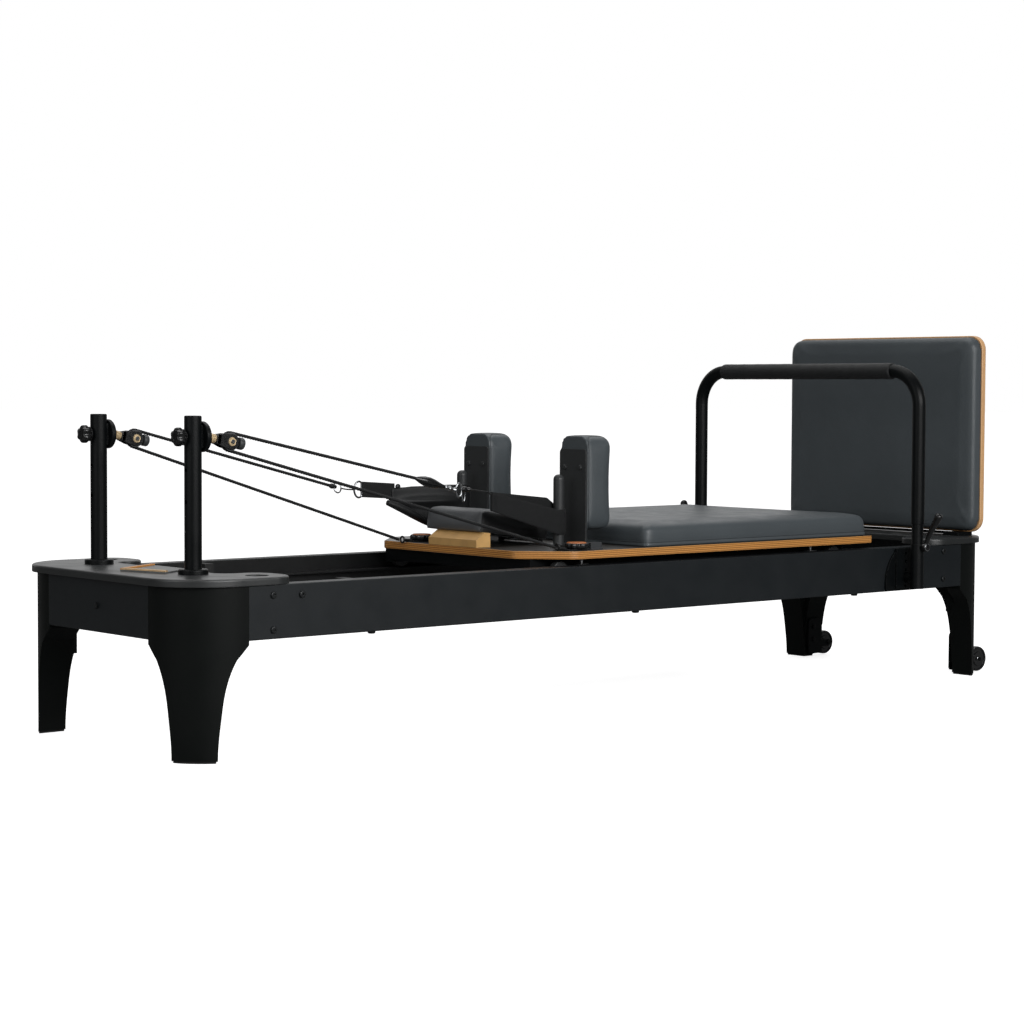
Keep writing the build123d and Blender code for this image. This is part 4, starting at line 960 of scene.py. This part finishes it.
# ---- straps -------------------------------------------------------------------------------------
def loop_path(side, near_gap, head):
    """Plan of a strap loop: from its stitched head end, round the peg and back."""
    centre = Vector((PEG_X, side * PEG_Y, 0))
    start = Vector((head[0], head[1], 0))
    near = centre + Vector((0, -near_gap, 0))
    far = centre + Vector((0, near_gap, 0))
    lead = Vector((70, 0, 0))
    out = bezier(start + Vector((0, -1.8, 0)), start + Vector((40, -3, 0)), near - lead, near, 30)
    out += arc(centre, near_gap, -math.pi / 2, math.pi / 2, 18, y_dir=(0, 1, 0))[1:]
    out += bezier(far, far - lead, start + Vector((40, 3, 0)), start + Vector((0, 1.8, 0)), 30)[1:]
    return even(out, 4.0)


def along_path(path, stops):
    """One value for each point, from (share of the length, value) stops."""
    return [float(value) for value in np.interp(share_along(path), *zip(*stops))]


def stitch_rows(path, lows, highs, xs, offset, count=7):
    """Short thread stitches across a webbing end."""
    parts = []
    for x in xs:
        i = min(range(len(path)), key=lambda k: abs(path[k].x - x))
        for k in range(count):
            share = (k + 0.5) / count
            z = lows[i] + (highs[i] - lows[i]) * (0.08 + 0.84 * share)
            a = Vector((x - 0.4, path[i].y + offset, z - 1.6))
            parts.append((*tube([a, a + Vector((0.8, 0, 3.2))], 0.35, 5), WEB))
    return parts


def right_strap():
    path = loop_path(-1, 14.5, (-334.0, -174.0))
    lows = along_path(path, ((0, 450), (0.42, 393), (0.52, 395), (0.6, 418), (1, 450)))
    highs = along_path(path, ((0, 491), (0.42, 448), (0.52, 450), (0.6, 474), (1, 491)))
    parts = [(*ribbon(path, lows, highs, 3.2, 20, 0.42), WEB)]
    parts += stitch_rows(path[:20], lows[:20], highs[:20], (-327.0, -321.0), -2.4)
    tail = line((-345, -174, 491.5), (-334, -174, 486), 2)
    parts.append((*tube(tail, 2.2, 10), WEB))
    piece = place_mesh("right_strap_loop", parts)
    return seat(piece, "carriage", "webbing", "straps")


def left_strap():
    path = loop_path(1, 15.5, (-336.0, 174.0))
    stops = ((0, 452), (0.1, 425), (0.2, 404), (0.3, 397), (0.42, 397), (0.52, 420), (0.62, 436), (1, 452))
    lows = along_path(path, stops)
    highs = along_path(path, ((0, 486), (0.12, 491), (0.42, 492), (0.52, 491), (0.62, 492), (1, 488)))
    parts = [(*ribbon(path, lows, highs, 6.0, 22, 0.0, (457.0, 10.0, 9.0)), NEOPRENE)]
    roll = bezier((-352, 166, 456), (-318, 161, 446), (-276, 158, 424), (-240, 160, 405), 40)
    swells = [min(0.1 + 0.86 * i / 40, 0.97) for i in range(41)]
    sizes = [3.0 + 6.5 * math.sin(math.pi * swell) ** 0.6 for swell in swells]
    parts.append((*tube(roll, sizes, 20), NEOPRENE))
    web = line((-419, 174, 487), (-326, 174, 481), 3)
    parts.append((*ribbon(web, [p.z - 17.5 for p in web], [p.z + 17.5 for p in web], 2.6, 14, 0.25), WEB))
    rivet = [(-3, 5.5), (-1, 6.5), (1.5, 6.2), (3, 3.8), (3.3, 0.4)]
    parts.append((*lathe((-318, 171, 491), (0, -1, 0), rivet, 20), FASTENER))
    piece = place_mesh("left_strap_loop", parts)
    return seat(piece, "carriage", "webbing", "straps")


def oval(centre, half_a, half_b, a_dir=(1, 0, 0), b_dir=(0, 0, 1), count=28, flat_right=False):
    """Closed ring path, or a D with its straight side towards a_dir."""
    centre, a_dir, b_dir = Vector(centre), Vector(a_dir), Vector(b_dir)
    out = []
    for i in range(count):
        turn = 2 * math.pi * i / count
        a, b = math.cos(turn), math.sin(turn)
        if flat_right and a > 0:
            a = min(a * 1.6, 1) * 0.55
        out.append(centre + a_dir * (half_a * a) + b_dir * (half_b * b))
    return out


def right_fitting():
    start = Vector(ROPE_END["right"])
    end = Vector((-463, -174, 505))
    along = (end - start).normalized()
    length = (end - start).length
    egg = [
        (-3, 3.0), (2, 4.8), (10, 7.4), (22, 10.2), (34, 11.0), (46, 9.8), (58, 7.2), (68, 5.0),
        (length, 4.0), (length + 1, 0.4),
    ]
    parts = [(*lathe(start, along, egg, 32), PLASTIC)]
    swivel = [
        (-1, 3.6), (2, 4.6), (5, 5.4), (8, 4.4), (9.5, 3.2), (11, 4.6), (14, 6.2), (17, 5.0), (19, 3.0),
        (24, 3.4), (27, 5.2), (31, 6.0), (34, 4.4), (36, 0.4),
    ]
    swivel = [(length + place, radius) for place, radius in swivel]
    parts.append((*lathe(start, along, swivel, 28), CHROME))
    parts.append((*tube(oval((-424, -174, 497), 7.5, 14.5), 2.1, 10, True), CHROME))
    clip = [
        (0, 3.0), (1, 5.5), (3, 6.2), (11, 6.2), (13, 5.0), (14, 3.0), (16, 2.6), (18, 4.4), (21, 5.2),
        (24, 3.6), (25.5, 0.4),
    ]
    parts.append((*lathe((-417, -174, 499), (1, 0, -0.05), clip, 24), PLASTIC))
    parts.append((*tube(oval((-411, -174, 488), 4.2, 15), 1.7, 10, True), CHROME))
    thin = bezier((-394, -174, 497.5), (-375, -174, 496), (-360, -174, 492.5), (-342, -174, 491.5), 16)
    parts.append((*tube(thin, 1.7, 8), CORD))
    return fitting("right_strap_coupling", parts, "carriage", "zinc", "strap_fittings", 60)


def left_fitting():
    start = Vector(ROPE_END["left"])
    knot = [(-4, 3.0), (-1, 4.6), (3, 6.0), (7, 5.4), (9, 3.8), (12, 4.6), (15, 3.8), (17, 0.4)]
    parts = [(*lathe(start, (1, 0, -0.2), knot, 24), CORD)]
    link = oval((-486, 173, 493), 9.5, 12.0, (1, 0, 0.1), (0, 0.25, 0.97))
    parts.append((*tube(link, 1.7, 10, True), CHROME))
    thin = bezier((-476, 173, 491), (-465, 173, 488), (-455, 173, 487.5), (-442, 174, 487), 14)
    parts.append((*tube(thin, 1.6, 8), CORD))
    ring = oval((-426, 174, 487), 13.0, 18.0, count=40, flat_right=True)
    parts.append((*tube(ring, 2.3, 12, True), CHROME))
    piece = place_mesh("left_strap_coupling", parts)
    return seat(piece, "carriage", "zinc", "strap_fittings")


# ---- springs ------------------------------------------------------------------------------------
def spring_coil(y, start, end):
    """Close coil between the two end plugs."""
    turns, steps, radius, inset = 116, 12, 10.2, 8
    coil = []
    for i in range(turns * steps + 1):
        turn = 2 * math.pi * i / steps
        x = start + inset + (end - start - 2 * inset) * i / (turns * steps)
        coil.append(Vector((x, y + radius * math.cos(turn), SPRING_Z + radius * math.sin(turn))))
    return tube(coil, 1.6, 5)


def springs():
    start, end = SPRING_ENDS
    plug = [(0, 4), (1, 9.6), (3, 11.6), (7, 11.6), (9, 8.4), (16, 8.2), (17, 0.4)]
    nut = [(0, 4.6), (1, 5.8), (7, 5.8), (8, 4.6)]
    for number, y in enumerate(SPRING_Y, 1):
        parts = [(*spring_coil(y, start, end), SPRING_WIRE)]
        parts.append((*lathe((start, y, SPRING_Z), (1, 0, 0), plug, 24), ZINC))
        parts.append((*lathe((end, y, SPRING_Z), (-1, 0, 0), plug, 24), ZINC))
        parts.append((*lathe((start - 34, y, SPRING_Z), (1, 0, 0), [(0, 2.5), (36, 2.5)], 14), ZINC))
        parts.append((*lathe((start - 34, y, SPRING_Z), (1, 0, 0), nut, 6), FASTENER))
        hook = line((end - 1, y, SPRING_Z), (HOOK_X - 8, y, SPRING_Z), 4)
        parts.append((*tube(hook, 2.0, 10), ZINC))
        eye = oval((HOOK_X, y, SPRING_Z), 8, 8, b_dir=(0, 1, 0), count=24)
        parts.append((*tube(eye, 2.0, 10, True), ZINC))
        piece = place_mesh(f"spring_{number}", parts)
        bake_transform(piece)
        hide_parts("springs")


# ---- footbar and wheels -------------------------------------------------------------------------
def foam_grip():
    """Foam sleeve with soft rolled ends and slight lumps along it."""
    half = 283.0
    rolled = [(0.0, 16.4), (0.6, 18.2), (2.0, 19.3), (5.0, 19.7)]
    profile = list(rolled)
    for x in np.arange(10, 2 * half - 9, 6):
        profile.append((x, 19.6 + 0.12 * math.sin(x * 0.13) + 0.1 * math.sin(x * 0.41)))
    profile += [(2 * half - x, radius) for x, radius in reversed(rolled)]
    sleeve = lathe((BAR_X, -half, BAR_TOP), (0, 1, 0), profile, 48)
    return seat(place_mesh("footbar_foam", [(*sleeve, FOAM)]), "footbar_upper", "rubber", "footbar_grip")


def clamp_lever(name):
    side = SIDES[name]
    face = side * (BAR_Y + 20.3)
    axis = (0, side, 0)
    hub = [(0, 9.0), (0.8, 10.4), (9, 10.6), (10.5, 9.8), (11.0, 8.0), (11.4, 7.6), (12.6, 7.0), (13.2, 0.4)]
    parts = [(*lathe((BAR_X, face, LEVER_Z), axis, hub, 40), PLASTIC)]
    ring = [(10.4, 9.4), (11.6, 9.0), (12.0, 7.2), (11.0, 6.8)]
    parts.append((*lathe((BAR_X, face, LEVER_Z), axis, ring, 40), ZINC))
    root = Vector((BAR_X, face + side * 6, LEVER_Z + 3))
    tip = Vector((BAR_X, side * 430, 413))
    arm = bezier(root, root + Vector((0, side * 3, 22)), tip - Vector((0, side * 14, 26)), tip, 28)
    sizes = []
    for i in range(29):
        share = i / 28
        sizes.append(4.8 + 2.0 * share if share < 0.25 else 5.3 + 5.6 * (share - 0.25))
    top = [tip + (arm[-1] - arm[-2]).normalized() * d for d in (2.5, 5.0, 6.8, 7.6)]
    parts.append((*tube(arm + top, sizes + [9.0, 7.2, 4.6, 0.6], 20), PLASTIC))
    node = f"{name}_clamp_lever"
    return fitting(f"{name}_clamp_handle", parts, node, "black_plastic", node, 55)


def transport_wheel(name):
    side = SIDES[name]
    y0 = side * WHEEL_Y - 13.0
    tyre = [
        (1.5, 6.5), (1.2, 12), (0.8, 17.5), (3.2, 18.5), (3.2, 24.5), (0.6, 25.5), (0.3, 27.5), (1.2, 29.6),
        (3.2, 30.9), (6.5, 31.45), (13, 31.5), (19.5, 31.45), (22.8, 30.9), (24.8, 29.6), (25.7, 27.5),
        (25.4, 25.5), (22.8, 24.5), (22.8, 18.5), (25.2, 17.5), (24.8, 12), (24.5, 6.5),
    ]
    parts = [(*lathe((WHEEL_X, y0, WHEEL_Z), (0, 1, 0), tyre, 64), GLOSS)]
    for end, direction in ((24.4, 1), (1.6, -1)):
        nut = [(0, 6.4), (2.0, 6.4), (2.8, 5.4), (3.0, 0.3)]
        parts.append((*lathe((WHEEL_X, y0 + end, WHEEL_Z), (0, direction, 0), nut, 6), CHROME))
    node = f"{name}_transport_wheel"
    return fitting(f"{name}_roller", parts, node, "gloss_wheel", node, 40)


# ---- stage --------------------------------------------------------------------------------------
def light(name, place, target, size, power, size_y=None):
    lamp = bpy.data.lights.new(name, "AREA")
    lamp.shape = "RECTANGLE"
    lamp.size = size
    lamp.size_y = size_y or size
    lamp.energy = power
    holder = bpy.data.objects.new(name, lamp)
    holder.location = place
    holder.rotation_euler = (Vector(target) - Vector(place)).to_track_quat("-Z", "Y").to_euler()
    scene.collection.objects.link(holder)


def studio():
    """White for the camera; other rays see a bright backdrop behind the part and a dim room before it."""
    world = bpy.data.worlds.new("studio")
    look = Look(world)
    facing = look.add("ShaderNodeVectorMath", {0: look.sky, 1: (0.65, 0.76, 0.0)}, operation="DOT_PRODUCT")
    wall = dict(enumerate((facing.outputs["Value"], 0.35, 0.9, ROOM_LIGHT, WALL_LIGHT)))
    wall = look.add("ShaderNodeMapRange", wall, interpolation_type="SMOOTHSTEP").outputs[0]
    seen = look.add("ShaderNodeLightPath").outputs["Is Camera Ray"]
    strength = look.add("ShaderNodeMix", {0: seen, 2: wall, 3: 1.0}, data_type="FLOAT").outputs[0]
    back = look.add("ShaderNodeBackground", {"Color": (1, 1, 1), "Strength": strength})
    look.add("ShaderNodeOutputWorld", {"Surface": back.outputs[0]})
    scene.world = world
    light("key", (-0.6, -4.4, 1.9), (0, 0, 0.4), 4.2, 180, 1.8)
    light("fill", (-3.2, -0.4, 1.4), (0, 0, 0.4), 2.0, 16)
    light("top", (0.2, 0.6, 3.2), (0, 0, 0.3), 4.0, 45, 2.0)


def floor():
    """Pale floor that the camera sees nearly white, with soft shadows, and that reflects little upwards."""
    size = 70.0
    mesh = bpy.data.meshes.new("floor")
    corners = [(-size, -size, 0), (size, -size, 0), (size, size, 0), (-size, size, 0)]
    mesh.from_pydata(corners, [], [[0, 1, 2, 3]])
    look = Look("floor")
    seen = look.add("ShaderNodeLightPath").outputs["Is Camera Ray"]
    grain = look.tone((0.84, 0.84, 0.84), look.noise(2, 2), 0.01)
    colour = look.mix(seen, (0.22, 0.22, 0.22), grain)
    matt = look.add("ShaderNodeBsdfDiffuse", {"Color": colour}).outputs[0]
    gap = look.add("ShaderNodeVectorMath", {0: look.place}, operation="LENGTH").outputs["Value"]
    strength = look.times(seen, look.span(gap, 1.4, 3.2, 0.8, 1.0))
    glow = look.add("ShaderNodeEmission", {"Color": (1, 1, 1), "Strength": strength}).outputs[0]
    both = look.add("ShaderNodeAddShader", {0: matt, 1: glow}).outputs[0]
    look.add("ShaderNodeOutputMaterial", {"Surface": both})
    mesh.materials.append(look.owner)
    plane = bpy.data.objects.new("floor", mesh)
    scene.collection.objects.link(plane)


def camera():
    yaw, pitch, roll = 0.8607, -0.0501, 0.0045
    ahead = Vector((math.cos(yaw) * math.cos(pitch), math.sin(yaw) * math.cos(pitch), math.sin(pitch)))
    right = Vector((math.sin(yaw), -math.cos(yaw), 0))
    up = right.cross(ahead)
    level = math.cos(roll), math.sin(roll)
    right, up = right * level[0] + up * level[1], up * level[0] - right * level[1]
    lens = bpy.data.cameras.new("camera")
    lens.sensor_width = 36
    lens.lens = 83.96
    holder = bpy.data.objects.new("camera", lens)
    turn = Matrix((right, up, -ahead)).transposed().to_4x4()
    holder.matrix_world = Matrix.Translation((-3.631455, -4.078126, 0.704730)) @ turn
    scene.collection.objects.link(holder)
    scene.camera = holder


for node_look, node_names in LOOK_NODES:
    for node_name in node_names.split():
        dress(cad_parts[node_name].data, node_look)

body_cushion()
head_pad()
board_pad()
right_strap()
left_strap()
right_fitting()
left_fitting()
ropes()
springs()
foam_grip()
for side_name in SIDES:
    shoulder_pad(side_name)
    pulley_block(side_name)
    post_knob(side_name)
    adjuster_knob(side_name)
    clamp_lever(side_name)
    transport_wheel(side_name)

studio()
floor()
camera()
scene.view_settings.view_transform = "Standard"
scene.view_settings.look = "None"
